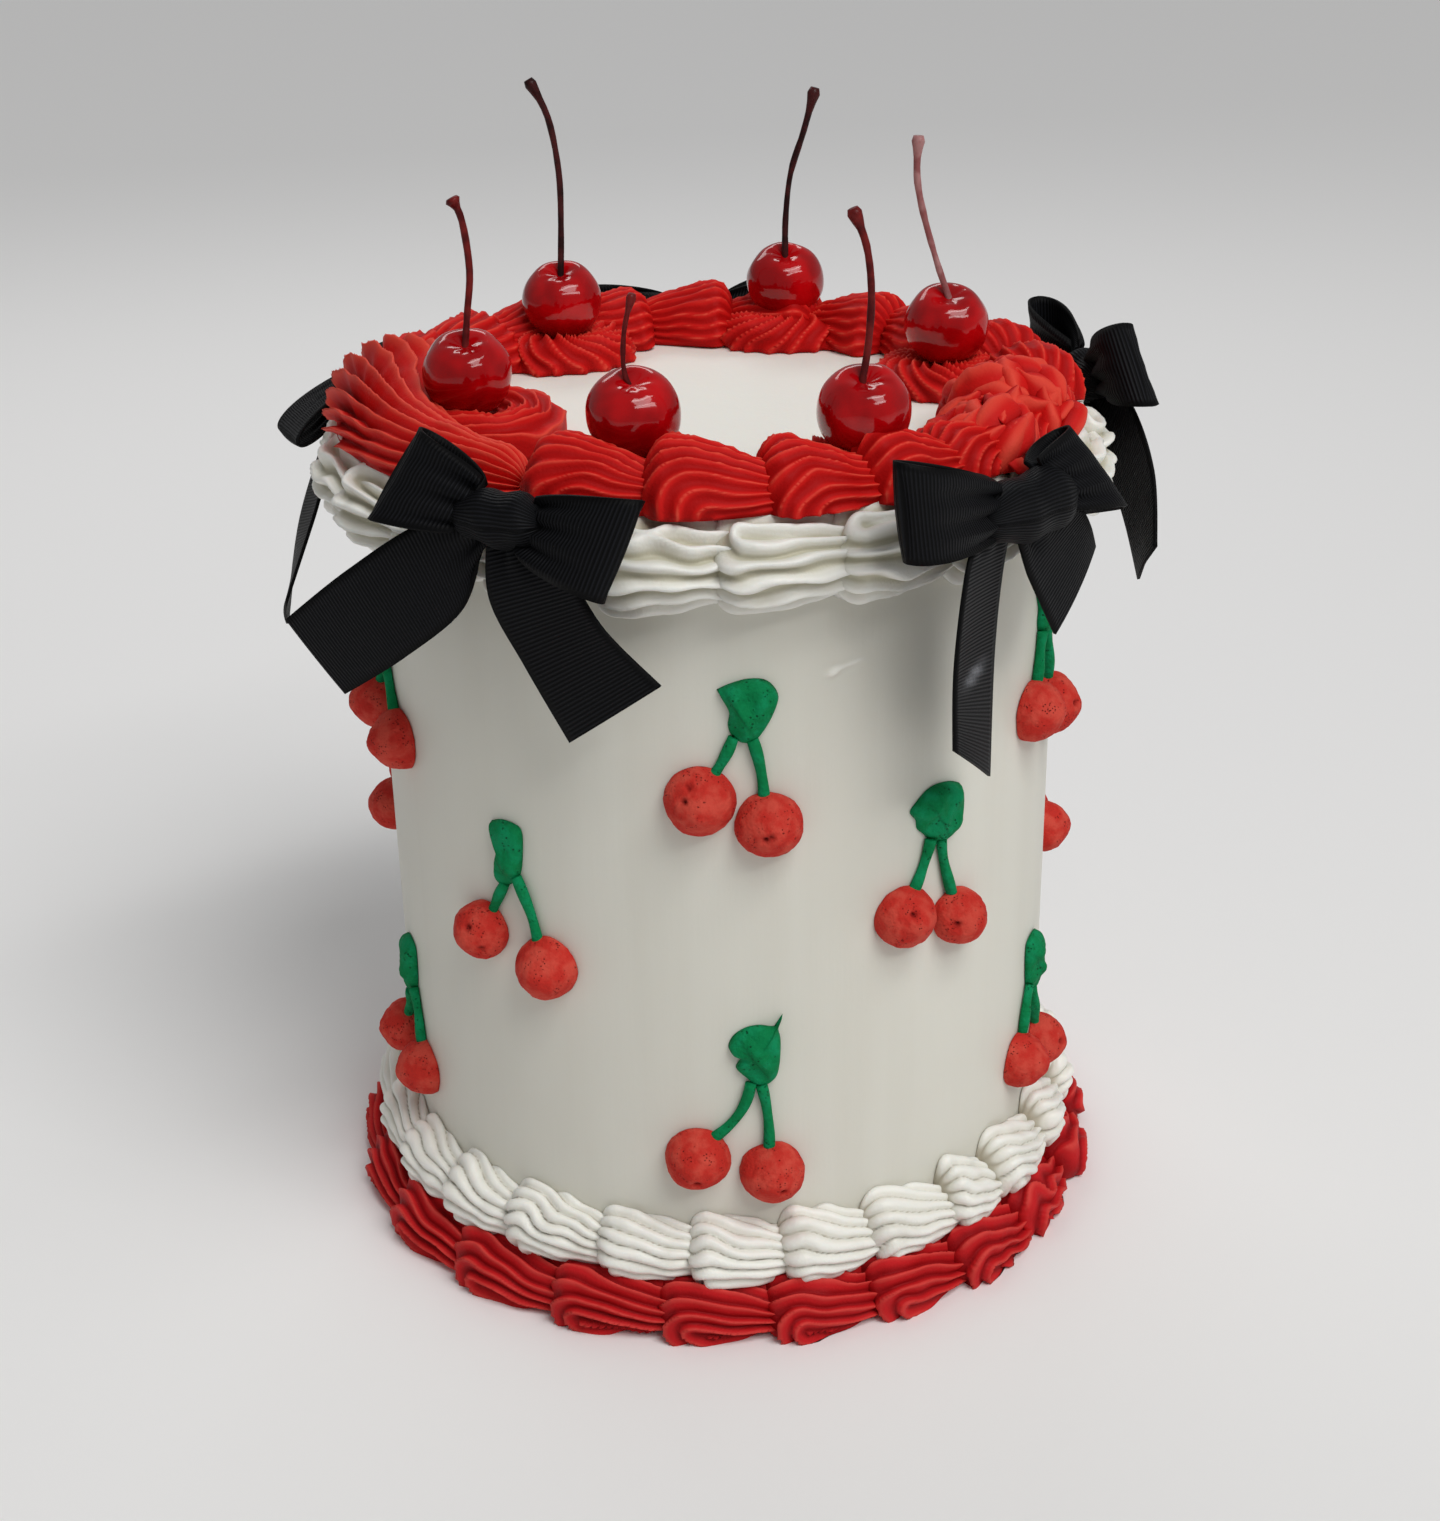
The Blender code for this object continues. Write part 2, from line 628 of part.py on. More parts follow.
def build_stalk(name, parts, azimuth, height, ball):
    """A thin piped stalk from the leaf's joint to a ball, flat where it lies on the icing."""
    along, up, radius = (value * MM for value in ball)
    share = 1 - (radius + STALK_RADIUS * 0.4 + STALK_CLEAR) / math.hypot(along, up)
    bow_out = 0.12 * along
    points = []
    for step in (0, 0.5, 1):
        sideways = along * share * step + bow_out * math.sin(math.pi * step)
        upward = height + up * share * step
        points.append(on_side(azimuth, sideways, upward, 0.6 * STALK_RADIUS + GAP))
    mesh = curve_tube(name, parts, points, (1, 0.9, 1), STALK_RADIUS, 0)
    floor = BODY_RADIUS + 1.6 * GAP
    for vertex in mesh.verts:
        radial = math.hypot(vertex.co.x, vertex.co.y)
        if radial < floor:
            vertex.co.x *= floor / radial
            vertex.co.y *= floor / radial
    return mesh


def build_motif(parts, name, azimuth, height, lean, left, right):
    """One piped cherry motif: two balls and a leaf with its two stalks."""
    azimuth = math.radians(azimuth)
    height = height * MM
    leaf = add_object(name + "_blade", parts, build_leaf(azimuth, height, lean))
    stalks = [add_object(name + "_stalk_" + side, parts, build_stalk(name, parts, azimuth, height, ball))
              for side, ball in (("left", left), ("right", right))]
    green = joined(name + "_leaf", parts, [leaf] + stalks, "leaf_green")
    keep_main_body(green)
    balls = [add_object(name + "_ball_" + side, parts, build_ball(azimuth, height, ball), "ball_red")
             for side, ball in (("left", left), ("right", right))]
    if name == MERGED_MOTIF:
        balls = [joined(name + "_balls", parts, balls, "ball_red")]
        keep_main_body(balls[0])
    for item in balls + [green]:
        item.data.shade_smooth()


def bow_point(azimuth, place):
    """Point of a bow from its (along, up, proud) place, on the plane that touches the cake there."""
    along, up, proud = place
    outward = Vector((math.sin(azimuth), -math.cos(azimuth), 0))
    sideways = Vector((math.cos(azimuth), math.sin(azimuth), 0))
    return outward * (BOW_REFERENCE + proud * MM) + sideways * (along * MM) + Vector((0, 0, up * MM))


def ribbon_mesh(azimuth, stations):
    """Open surface of a ribbon through stations of (centre, half-width vector)."""
    mesh = bmesh.new()
    rows = []
    for centre, half in stations:
        rows.append([mesh.verts.new(bow_point(azimuth, centre + half * side)) for side in (-1, 1)])
    for first, second in zip(rows, rows[1:]):
        mesh.faces.new((first[0], first[1], second[1], second[0]))
    return mesh


def loop_stations(loop, grow):
    """Stations of one loop, out along its front and back along its rear."""
    root, root_half, tip, half, depth = loop
    root, tip, half = Vector(root), Vector(tip), Vector(half)
    half = half * (1 + grow / half.length)
    root_vector = half.normalized() * (root_half + grow)
    opening = (tip - root).cross(half).normalized()
    if opening.z < 0:
        opening.negate()
    stations = []
    for step in range(LOOP_STATIONS):
        turn = 2 * math.pi * (LOOP_OPEN + (1 - 2 * LOOP_OPEN) * step / (LOOP_STATIONS - 1))
        out = 0.5 * (1 - math.cos(turn))
        centre = root.lerp(tip, out) + opening * depth * math.sin(turn) * (0.35 + 0.65 * out)
        width = root_vector.lerp(half, out ** 0.6)
        stations.append((centre, width))
    return stations


def tail_stations(tail, grow):
    """Stations of one tail, smoothly through its given ones."""
    keys = [(Vector(centre), Vector(half) * (1 + grow / Vector(half).length)) for centre, half in tail]
    stations = []
    for step in range(TAIL_STATIONS):
        place = step / (TAIL_STATIONS - 1) * (len(keys) - 1)
        index = min(int(place), len(keys) - 2)
        share = place - index
        near = keys[max(index - 1, 0)], keys[index], keys[index + 1], keys[min(index + 2, len(keys) - 1)]
        mix = (
            -0.5 * share + share ** 2 - 0.5 * share ** 3,
            1 - 2.5 * share ** 2 + 1.5 * share ** 3,
            0.5 * share + 2 * share ** 2 - 1.5 * share ** 3,
            0.5 * share ** 3 - 0.5 * share ** 2,
        )
        centre = sum((key[0] * weight for key, weight in zip(near, mix)), Vector())
        half = sum((key[1] * weight for key, weight in zip(near, mix)), Vector())
        stations.append((centre, half))
    return stations


def ribbon(name, collection, azimuth, stations, thickness):
    """A strip of ribbon with its thickness."""
    strip = add_object(name, collection, ribbon_mesh(azimuth, stations))
    solidify = strip.modifiers.new("thickness", "SOLIDIFY")
    solidify.thickness = thickness
    solidify.offset = 0
    apply_all(strip)
    return strip


def knot_mesh(azimuth, centre, size, grow):
    """The rounded wrap in the middle of a bow."""
    mesh = bmesh.new()
    bmesh.ops.create_uvsphere(mesh, u_segments=8, v_segments=5, radius=1)
    along, up, proud = (value + grow for value in size)
    for vertex in mesh.verts:
        x, y, z = vertex.co
        place = Vector(centre) + Vector((along * z, up * y, proud * x))
        vertex.co = bow_point(azimuth, place)
    return mesh


def build_bow(name, collection, bow, grow, finish_name):
    """One bow: knot, two loops and two tails, all one piece."""
    azimuth = math.radians(bow["azimuth"])
    wider = grow / MM
    pieces = [add_object(name + "_knot", collection, knot_mesh(azimuth, *bow["knot"], wider))]
    strips = [loop_stations(loop, wider) for loop in bow["loops"]]
    strips += [tail_stations(tail, wider) for tail in bow["tails"]]
    for index, stations in enumerate(strips):
        thickness = RIBBON_THICKNESS + 2 * grow
        pieces.append(ribbon(f"{name}_strip_{index}", collection, azimuth, stations, thickness))
    item = joined(name, collection, pieces, finish_name)
    keep_main_body(item)
    return item


def build_border(parts, border, pockets):
    """One ring of shells, cut back from what sits in it."""
    ring = border_ring(border, parts)
    if border.name == "top_red_border":
        swirls = [add_object(f"rosette_{index}", parts, rosette_mesh(*rosette))
                  for index, rosette in enumerate(ROSETTES)]
        ring = joined(border.name, parts, [ring] + swirls, border.finish)
    for pocket in pockets:
        add_boolean(ring, "DIFFERENCE", pocket)
        apply_all(ring)
    keep_main_body(ring)
    ring.data.materials.clear()
    ring.data.materials.append(finish(border.finish))
    ring.data.shade_smooth()
    ring.data.set_sharp_from_angle(angle=math.radians(50))


def main():
    """Build the cake."""
    clear_scene()
    parts = new_collection("cherry_celebration_cake")
    cutters = new_collection("cutters")
    build_body(parts)
    pockets = []
    for name, azimuth, distance, stem in CHERRIES:
        build_cherry(parts, name, azimuth, distance, stem)
        fruit = cherry_fruit(math.radians(azimuth), distance * MM, GAP)
        pockets.append(hide_cutter(add_object(name + "_pocket", cutters, fruit)))
    bow_pockets = []
    for name, bow in BOWS.items():
        item = build_bow(name, parts, bow, 0, "black_ribbon")
        item.data.shade_smooth()
        item.data.set_sharp_from_angle(angle=math.radians(50))
        bow_pockets.append(hide_cutter(build_bow(name + "_pocket", cutters, bow, GAP, None)))
    for border in BORDERS:
        around = {"top_red_border": pockets + bow_pockets, "top_white_border": bow_pockets}
        build_border(parts, border, around.get(border.name, []))
    for motif in MOTIFS:
        build_motif(parts, *motif)


main()
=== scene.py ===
"""Looks of a tall iced celebration cake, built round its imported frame.

The cake stands on z = 0 with its front towards -Y. An azimuth is measured from the front
towards +X. Sizes in the tables are in millimetres and angles in degrees.
"""

import logging
import math
from collections.abc import Iterable
from dataclasses import dataclass, replace
from enum import Enum

import bmesh
import bpy
import numpy as np
from mathutils import Matrix, Vector


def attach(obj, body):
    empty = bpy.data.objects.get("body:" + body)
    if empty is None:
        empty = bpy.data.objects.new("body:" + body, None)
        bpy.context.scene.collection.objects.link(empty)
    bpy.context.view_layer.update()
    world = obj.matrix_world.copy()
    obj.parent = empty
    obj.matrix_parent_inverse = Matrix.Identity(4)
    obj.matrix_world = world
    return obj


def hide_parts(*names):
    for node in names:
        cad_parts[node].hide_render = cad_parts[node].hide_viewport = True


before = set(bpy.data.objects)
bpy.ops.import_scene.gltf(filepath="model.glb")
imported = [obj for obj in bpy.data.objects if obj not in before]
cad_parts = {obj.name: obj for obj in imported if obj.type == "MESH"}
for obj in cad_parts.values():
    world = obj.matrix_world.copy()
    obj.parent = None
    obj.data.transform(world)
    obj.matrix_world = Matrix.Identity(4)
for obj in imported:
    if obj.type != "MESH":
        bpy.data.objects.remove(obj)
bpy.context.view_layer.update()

logging.basicConfig(level=logging.INFO, format="%(message)s")
log = logging.getLogger("cake")

MM = 0.001
FULL_TURN = 2 * math.pi
UPWARD = np.array((0.0, 0.0, 1.0))

# Between the top of the cake and what is piped on it
GAP = 0.3
# Between the wall and what is piped against it
TOUCH = 0.05
BODY_RADIUS = 82.0
BODY_HEIGHT = 198.0
# Radius of the rounded top edge
BODY_EDGE = 3.0
# Height of the seam between the two base borders at the wall, and its rise outward
BASE_SEAM = 11.5
BASE_SEAM_SLOPE = 0.32
# How far out light scatters in icing, by colour, in metres
ICING_SCATTER = (0.004, 0.0025, 0.0018)
WALL_SCATTER = (0.004, 0.003, 0.0022)
FRUIT_SCATTER = (0.006, 0.001, 0.001)

Colour = tuple[int, int, int]
Place = tuple[float, float, float]
Spot = tuple[float, float]
Station = tuple[Place, Place]
Loop = tuple[Place, float, Place, Place, float]


# Shader maths


class Shade:
    """A socket that can be used in arithmetic: each operator adds a Math node."""

    def __init__(self, graph: "Graph", socket: bpy.types.NodeSocket) -> None:
        """Keep the socket and the graph it is in."""
        self.graph = graph
        self.socket = socket

    def _math(self, operation: str, *values: "Shade | float") -> "Shade":
        """Add a Math node.

        Args:
            operation: The node's operation.
            values: Its inputs, in order.

        Returns:
            The node's result.
        """
        inputs = dict(enumerate(values))
        node = self.graph.node("ShaderNodeMath", {"operation": operation}, inputs)
        return Shade(self.graph, node.outputs[0])

    def __add__(self, other: "Shade | float") -> "Shade":
        """Sum."""
        return self._math("ADD", self, other)

    def __radd__(self, other: float) -> "Shade":
        """Sum with a number first."""
        return self._math("ADD", other, self)

    def __sub__(self, other: "Shade | float") -> "Shade":
        """Difference."""
        return self._math("SUBTRACT", self, other)

    def __rsub__(self, other: float) -> "Shade":
        """Difference from a number."""
        return self._math("SUBTRACT", other, self)

    def __mul__(self, other: "Shade | float") -> "Shade":
        """Product."""
        return self._math("MULTIPLY", self, other)

    def __rmul__(self, other: float) -> "Shade":
        """Product with a number first."""
        return self._math("MULTIPLY", other, self)

    def sine(self) -> "Shade":
        """Sine of an angle in radians."""
        return self._math("SINE", self)

    def step(self, low: float, high: float) -> "Shade":
        """Smooth step from 0 at low to 1 at high.

        Args:
            low: Where the step starts.
            high: Where it ends.

        Returns:
            A value from 0 to 1.
        """
        settings = {"interpolation_type": "SMOOTHSTEP"}
        inputs = {"Value": self, "From Min": low, "From Max": high}
        node = self.graph.node("ShaderNodeMapRange", settings, inputs)
        return Shade(self.graph, node.outputs[0])


class Graph:
    """The node tree of one material."""

    def __init__(self, name: str) -> None:
        """Make an empty material with its output.

        Args:
            name: The material's name.
        """
        self.material = bpy.data.materials.new(name)
        self.material.use_nodes = True
        self.tree = self.material.node_tree
        self.tree.nodes.clear()

    def node(self, kind: str, settings: dict, inputs: dict) -> bpy.types.Node:
        """Add a node.

        Args:
            kind: The node's type.
            settings: Its settings, which are set first.
            inputs: Socket names or numbers, with values, sockets or shades.

        Returns:
            The new node.
        """
        node = self.tree.nodes.new(kind)
        for key, value in settings.items():
            setattr(node, key, value)
        for key, value in inputs.items():
            if isinstance(value, Shade):
                self.tree.links.new(value.socket, node.inputs[key])
            elif isinstance(value, bpy.types.NodeSocket):
                self.tree.links.new(value, node.inputs[key])
            else:
                node.inputs[key].default_value = value
        return node

    def kept(self, name: str) -> Shade:
        """Value kept at the mesh's points under a name."""
        node = self.node("ShaderNodeAttribute", {"attribute_name": name}, {})
        return Shade(self, node.outputs["Fac"])

    def place(self, stretch: Place = (1, 1, 1)) -> bpy.types.NodeSocket:
        """Place on the object, in metres, stretched along each axis.

        Args:
            stretch: How much each axis counts.

        Returns:
            The place's socket.
        """
        source = self.node("ShaderNodeTexCoord", {}, {}).outputs["Object"]
        settings = {"operation": "MULTIPLY"}
        return self.node("ShaderNodeVectorMath", settings, {0: source, 1: stretch}).outputs[0]

    def noise(self, place: bpy.types.NodeSocket, scale: float, detail: float = 2.0) -> Shade:
        """Noise from 0 to 1 with a number of cells to the metre."""
        inputs = {"Vector": place, "Scale": scale, "Detail": detail}
        return Shade(self, self.node("ShaderNodeTexNoise", {}, inputs).outputs["Fac"])

    def cells(self, place: bpy.types.NodeSocket, scale: float) -> Shade:
        """Distance to the nearest of scattered points."""
        inputs = {"Vector": place, "Scale": scale}
        return Shade(self, self.node("ShaderNodeTexVoronoi", {}, inputs).outputs["Distance"])

    def mix(self, share: Shade | float, first: object, second: object) -> bpy.types.NodeSocket:
        """Blend two colours.

        Args:
            share: Share of the second colour.
            first: Colour where the share is 0, as 8-bit values or a socket.
            second: Colour where the share is 1.

        Returns:
            The blended colour's socket.
        """
        inputs = {0: share, 6: self.colour(first), 7: self.colour(second)}
        node = self.node("ShaderNodeMix", {"data_type": "RGBA"}, inputs)
        return node.outputs[2]

    @staticmethod
    def colour(value: object) -> object:
        """Turn 8-bit values into a linear colour, and leave a socket as it is.

        Args:
            value: Three 8-bit values, or a socket.

        Returns:
            The linear colour with its alpha, or the socket.
        """
        if not isinstance(value, tuple):
            return value
        return (*[linear(channel) for channel in value], 1.0)

    def bump(self, height: Shade, depth: float, strength: float = 1.0) -> bpy.types.NodeSocket:
        """Normal of a surface with a relief of a depth in metres."""
        inputs = {"Height": height, "Distance": depth, "Strength": strength}
        return self.node("ShaderNodeBump", {}, inputs).outputs[0]

    def surface(self, inputs: dict) -> bpy.types.Material:
        """End the tree with a Principled shader.

        Args:
            inputs: The shader's sockets with their values or links.

        Returns:
            The finished material.
        """
        shader = self.node("ShaderNodeBsdfPrincipled", {}, inputs)
        self.node("ShaderNodeOutputMaterial", {}, {"Surface": shader.outputs[0]})
        return self.material


def linear(channel: float) -> float:
    """Turn an 8-bit channel into a linear value."""
    value = channel / 255
    return value / 12.92 if value <= 0.04045 else ((value + 0.055) / 1.055) ** 2.4


# Finishes


@dataclass(frozen=True)
class IcingFinish:
    """Piped buttercream, with a painted highlight on its crests and painted shade in its grooves."""

    name: str
    body: Colour
    crest: Colour
    groove: Colour
    roughness: float
    soft: float = 0.0
    specular: float = 0.4

    def material(self) -> bpy.types.Material:
        """Make the material.

        Returns:
            The finished material.
        """
        graph = Graph(self.name)
        place = graph.place()
        crest = graph.kept("crest")
        blotch = graph.noise(place, 90.0, 3.0)
        # painted shade: where the ridge relief is low, in the grooves, the colour drops to the groove shade
        # colour
        colour = graph.mix(crest.step(0.02, 0.5), self.groove, self.body)
        # painted highlight: the tops of the ridges take the lighter crest colour
        colour = graph.mix(crest.step(0.5, 0.95) * (0.4 + 0.6 * blotch), colour, self.crest)
        # random blotches also lean a little towards the groove shade colour
        colour = graph.mix((blotch - 0.5).step(0.0, 0.25) * 0.25, colour, self.groove)
        grain = graph.noise(place, 1500.0, 3.0) + 0.8 * graph.noise(place, 420.0)
        return graph.surface({
            "Base Color": colour,
            "Roughness": self.roughness + 0.15 * (blotch - 0.5),
            "Normal": graph.bump(grain, 0.00016, 0.7),
            "Subsurface Weight": self.soft,
            "Subsurface Radius": ICING_SCATTER,
            "Subsurface Scale": 1.0,
            "Specular IOR Level": self.specular,
        })


@dataclass(frozen=True)
class WallFinish:
    """Smoothed buttercream of the cake itself, with faint marks of the scraper. Its flat top and the scar's
    raised ding and line are painted lighter, a painted highlight.
    """

    name: str
    wall: Colour
    streak: Colour
    top: Colour
    roughness: float

    def material(self) -> bpy.types.Material:
        """Make the material.

        Returns:
            The finished material.
        """
        graph = Graph(self.name)
        upright = graph.place((1.0, 1.0, 0.06))
        place = graph.place()
        streaks = graph.noise(upright, 70.0, 3.0)
        fine = graph.noise(upright, 420.0, 2.0)
        patches = graph.noise(place, 22.0, 2.0)
        colour = graph.mix(streaks.step(0.38, 0.72) * 0.55, self.wall, self.streak)
        colour = graph.mix(patches.step(0.45, 0.75) * 0.3, colour, self.streak)
        # painted highlight: the top value lightens the flat top and the scar's raised ding and line
        colour = graph.mix(graph.kept("top"), colour, self.top)
        relief = 0.6 * fine + streaks + 0.25 * graph.noise(place, 900.0)
        return graph.surface({
            "Base Color": colour,
            "Roughness": self.roughness + 0.12 * (fine - 0.5),
            "Normal": graph.bump(relief, 0.0002, 0.45),
            "Subsurface Weight": 0.12,
            "Subsurface Radius": WALL_SCATTER,
            "Subsurface Scale": 1.0,
            "Specular IOR Level": 0.4,
        })


@dataclass(frozen=True)
class PorousFinish:
    """Firm piped icing, matt and full of pinholes, with painted shade in its pinholes, pits and folds."""

    name: str
    body: Colour
    light: Colour
    pit_shade: Colour
    pores: float

    def material(self) -> bpy.types.Material:
        """Make the material.

        Returns:
            The finished material.
        """
        graph = Graph(self.name)
        place = graph.place()
        blotch = graph.noise(place, 240.0, 4.0)
        rough = graph.noise(place, 1100.0, 4.0)
        hole = 1.0 - graph.cells(place, self.pores).step(0.12, 0.34)
        holes = hole * graph.noise(place, 300.0, 1.0).step(0.52, 0.62)
        colour = graph.mix(blotch.step(0.4, 0.65), self.body, self.light)
        # painted shade: the pinholes are darkened towards the pit shade colour
        colour = graph.mix(holes * 0.8, colour, self.pit_shade)
        # painted shade: the pit value darkens the dollops' pits and one side of the leaf's fold
        colour = graph.mix(graph.kept("pit"), colour, self.pit_shade)
        relief = rough + 0.7 * blotch - 0.9 * holes
        return graph.surface({
            "Base Color": colour,
            "Roughness": 0.78 + 0.15 * (rough - 0.5),
            "Normal": graph.bump(relief, 0.0005, 0.9),
            "Specular IOR Level": 0.14,
        })


@dataclass(frozen=True)
class FruitFinish:
    """Syrup-wet cherry with its dull stem."""

    name: str
    deep: Colour
    bright: Colour
    stem: Colour
    stem_light: Colour

    def material(self) -> bpy.types.Material:
        """Make the material.

        Returns:
            The finished material.
        """
        graph = Graph(self.name)
        place = graph.place()
        stem = graph.kept("stem")
        mottle = graph.noise(place, 110.0, 2.0)
        wrinkles = graph.noise(place, 380.0, 2.0)
        fruit = graph.mix(mottle.step(0.35, 0.7), self.deep, self.bright)
        bark = graph.mix(graph.noise(place, 260.0).step(0.35, 0.65), self.stem, self.stem_light)
        return graph.surface({
            "Base Color": graph.mix(stem, fruit, bark),
            "Roughness": 0.16 + 0.34 * stem,
            "Normal": graph.bump(wrinkles, 0.0002, 0.08),
            "Specular IOR Level": 0.1,
            "Coat Weight": 0.6 - 0.5 * stem,
            "Coat Roughness": 0.04,
            "Subsurface Weight": 0.08,
            "Subsurface Radius": FRUIT_SCATTER,
            "Subsurface Scale": 1.0,
        })


@dataclass(frozen=True)
class GrosgrainFinish:
    """Ribbed black ribbon. The ribs lie across it, and its two edges are bound. The grooves between the ribs
    are painted darker, a painted shade.
    """

    name: str
    rib: Colour
    groove: Colour
    rib_pitch: float
    pale_streak: Colour = (176, 178, 184)

    def material(self) -> bpy.types.Material:
        """Make the material.

        Returns:
            The finished material.
        """
        graph = Graph(self.name)
        along = graph.kept("along")
        edge = graph.kept("edge")
        wave = 0.5 + 0.5 * (along * (2 * math.pi / self.rib_pitch)).sine()
        rib = wave * (1.0 - edge)
        thread = graph.noise(graph.place(), 2600.0, 1.0)
        # painted shade: between the ribs the colour falls to the dark groove shade colour; the bound edges,
        # which have no ribs, take it too
        colour = graph.mix(rib.step(0.3, 1.0) * (0.55 + 0.6 * thread), self.groove, self.rib)
        # a pale slanted streak, laid where the mark value is high
        colour = graph.mix(graph.kept("mark") * (0.15 + 0.7 * thread), colour, self.pale_streak)
        return graph.surface({
            "Base Color": colour,
            "Roughness": 0.62 - 0.12 * rib,
            "Normal": graph.bump(rib + 0.25 * thread, 0.00022, 0.8),
            "Specular IOR Level": 0.1,
        })


@dataclass(frozen=True)
class FloorFinish:
    """Plain pale floor."""

    name: str
    colour: Colour

    def material(self) -> bpy.types.Material:
        """Make the material."""
        graph = Graph(self.name)
        return graph.surface({"Base Color": Graph.colour(self.colour), "Roughness": 0.7})


# The third colour is a painted highlight for the flat top of the cake and the scar's raised ding.
WALL = WallFinish("smoothed_icing", (221, 219, 208), (215, 212, 200), (243, 242, 233), 0.5)
# In each piping finish the crest colour is a painted highlight and the groove colour is painted shade.
WHITE_PIPING = IcingFinish(
    "white_piping", (232, 230, 220), (246, 245, 238), (182, 174, 156), 0.42, 0.1)
RIM_WHITE_PIPING = IcingFinish(
    "rim_white_piping", (226, 224, 214), (243, 242, 236), (192, 187, 165), 0.42, 0.1)
RED_PIPING = IcingFinish(
    "red_piping", (205, 25, 22), (238, 88, 68), (168, 8, 8), 0.6, specular=0.1)
BASE_RED_PIPING = IcingFinish(
    "base_red_piping", (194, 29, 33), (218, 74, 66), (144, 11, 17), 0.6, specular=0.12)
# The third colour of each is painted shade for pinholes, pits and the leaf's fold.
RED_DOTS = PorousFinish("red_dots", (194, 46, 37), (206, 74, 60), (104, 8, 10), 1500.0)
GREEN_LEAVES = PorousFinish("green_leaves", (0, 122, 69), (8, 138, 88), (0, 68, 38), 1100.0)
CHERRY = FruitFinish("candied_cherry", (148, 0, 6), (190, 4, 12), (74, 14, 16), (112, 30, 28))
DARK_STEMMED = replace(CHERRY, name="dark_stemmed_cherry", stem=(34, 12, 12), stem_light=(66, 26, 26))
PALE_STEMMED = replace(CHERRY, name="pale_stemmed_cherry", stem=(140, 84, 84), stem_light=(168, 124, 122))
# The ribbon's second colour is painted shade for the grooves between its ribs.
RIBBON = GrosgrainFinish("black_grosgrain", (23, 24, 28), (5, 5, 6), 0.85)
FLOOR = FloorFinish("pale_floor", (243, 242, 241))


# Meshes


def ring_points(azimuth: np.ndarray, radius: np.ndarray, height: np.ndarray) -> np.ndarray:
    """Points from azimuth in radians, and radius and height in millimetres.

    Args:
        azimuth: Angle from the front towards +X.
        radius: Distance from the axis.
        height: Height over the ground.

    Returns:
        Points in metres, with a last axis of three.
    """
    azimuth, radius, height = np.broadcast_arrays(azimuth, radius, height)
    return np.stack((radius * np.sin(azimuth), -radius * np.cos(azimuth), height), -1) * MM


def side_points(azimuth: float, along: np.ndarray, height: np.ndarray,
                proud: np.ndarray) -> np.ndarray:
    """Points on the wall, at distances round it, heights and distances out from it."""
    return ring_points(azimuth + along / BODY_RADIUS, BODY_RADIUS + proud, height)


def round_turn(count: int) -> np.ndarray:
    """Even angles round a full turn."""
    return np.linspace(0, FULL_TURN, count, endpoint=False)


def ball_directions(turn: np.ndarray, around: np.ndarray) -> np.ndarray:
    """Directions from a ball's middle, by angle from its top and angle round it.

    Args:
        turn: Angles from the top, as a column.
        around: Angles round it, as a row.

    Returns:
        Unit vectors, with a last axis of three.
    """
    parts = (np.sin(turn) * np.cos(around), np.sin(turn) * np.sin(around), np.cos(turn) + 0 * around)
    return np.stack(np.broadcast_arrays(*parts), -1)


def facing(azimuth: float) -> tuple[np.ndarray, np.ndarray]:
    """Directions out from the axis and to the side, at an azimuth in degrees.

    Args:
        azimuth: Angle from the front towards +X.

    Returns:
        The outward and the sideways unit vector.
    """
    angle = math.radians(azimuth)
    out = np.array((math.sin(angle), -math.cos(angle), 0.0))
    side = np.array((math.cos(angle), math.sin(angle), 0.0))
    return out, side


def unit(vectors: np.ndarray, least: float = 0.0) -> np.ndarray:
    """Vectors scaled to length 1, or a little less where a least length is added."""
    return vectors / (np.linalg.norm(vectors, axis=-1, keepdims=True) + least)


def smooth(value: np.ndarray, low: float, high: float) -> np.ndarray:
    """Smooth step from 0 at low to 1 at high."""
    share = np.clip((value - low) / (high - low), 0, 1)
    return share * share * (3 - 2 * share)


class Wobble:
    """Smooth unevenness through space: a few sine waves of about one length."""

    def __init__(self, seed: int, length: float, waves: int = 7) -> None:
        """Draw the waves.

        Args:
            seed: Seed of the draw.
            length: Wave length in millimetres.
            waves: Number of waves.
        """
        source = np.random.default_rng(seed)
        directions = source.normal(size=(waves, 3))
        directions /= np.linalg.norm(directions, axis=1, keepdims=True)
        self.waves = directions * 2 * math.pi / (length * MM) * source.uniform(0.7, 1.5, (waves, 1))
        self.phases = source.uniform(0, 2 * math.pi, waves)

    def at(self, points: np.ndarray) -> np.ndarray:
        """Value at points, mostly between -1 and 1."""
        return np.sin(points @ self.waves.T + self.phases).mean(axis=-1) * 1.8


class RidgeShape(Enum):
    """Cross-section of the ridges that a nozzle leaves."""

    LOBE = "fat and round, with narrow grooves"
    CREST = "thin crests between rounded valleys"
    FOLD = "round, with valleys as wide"
    PETAL = "one slow side and one steep side"

    def relief(self, turns: np.ndarray) -> np.ndarray:
        """Height from 0 to 1 across the ridges, one ridge to each turn.

        Args:
            turns: Places across the ridges.

        Returns:
            The heights.
        """
        if self is RidgeShape.LOBE:
            return np.abs(np.sin(math.pi * turns)) ** 0.62
        if self is RidgeShape.CREST:
            return 1 - np.abs(np.sin(math.pi * turns)) ** 0.7
        if self is RidgeShape.FOLD:
            return (0.5 - 0.5 * np.cos(2 * math.pi * turns)) ** 1.1
        share = turns - np.floor(turns)
        return np.where(share < 0.82, (share / 0.82) ** 1.4, (1 - share) / 0.18)


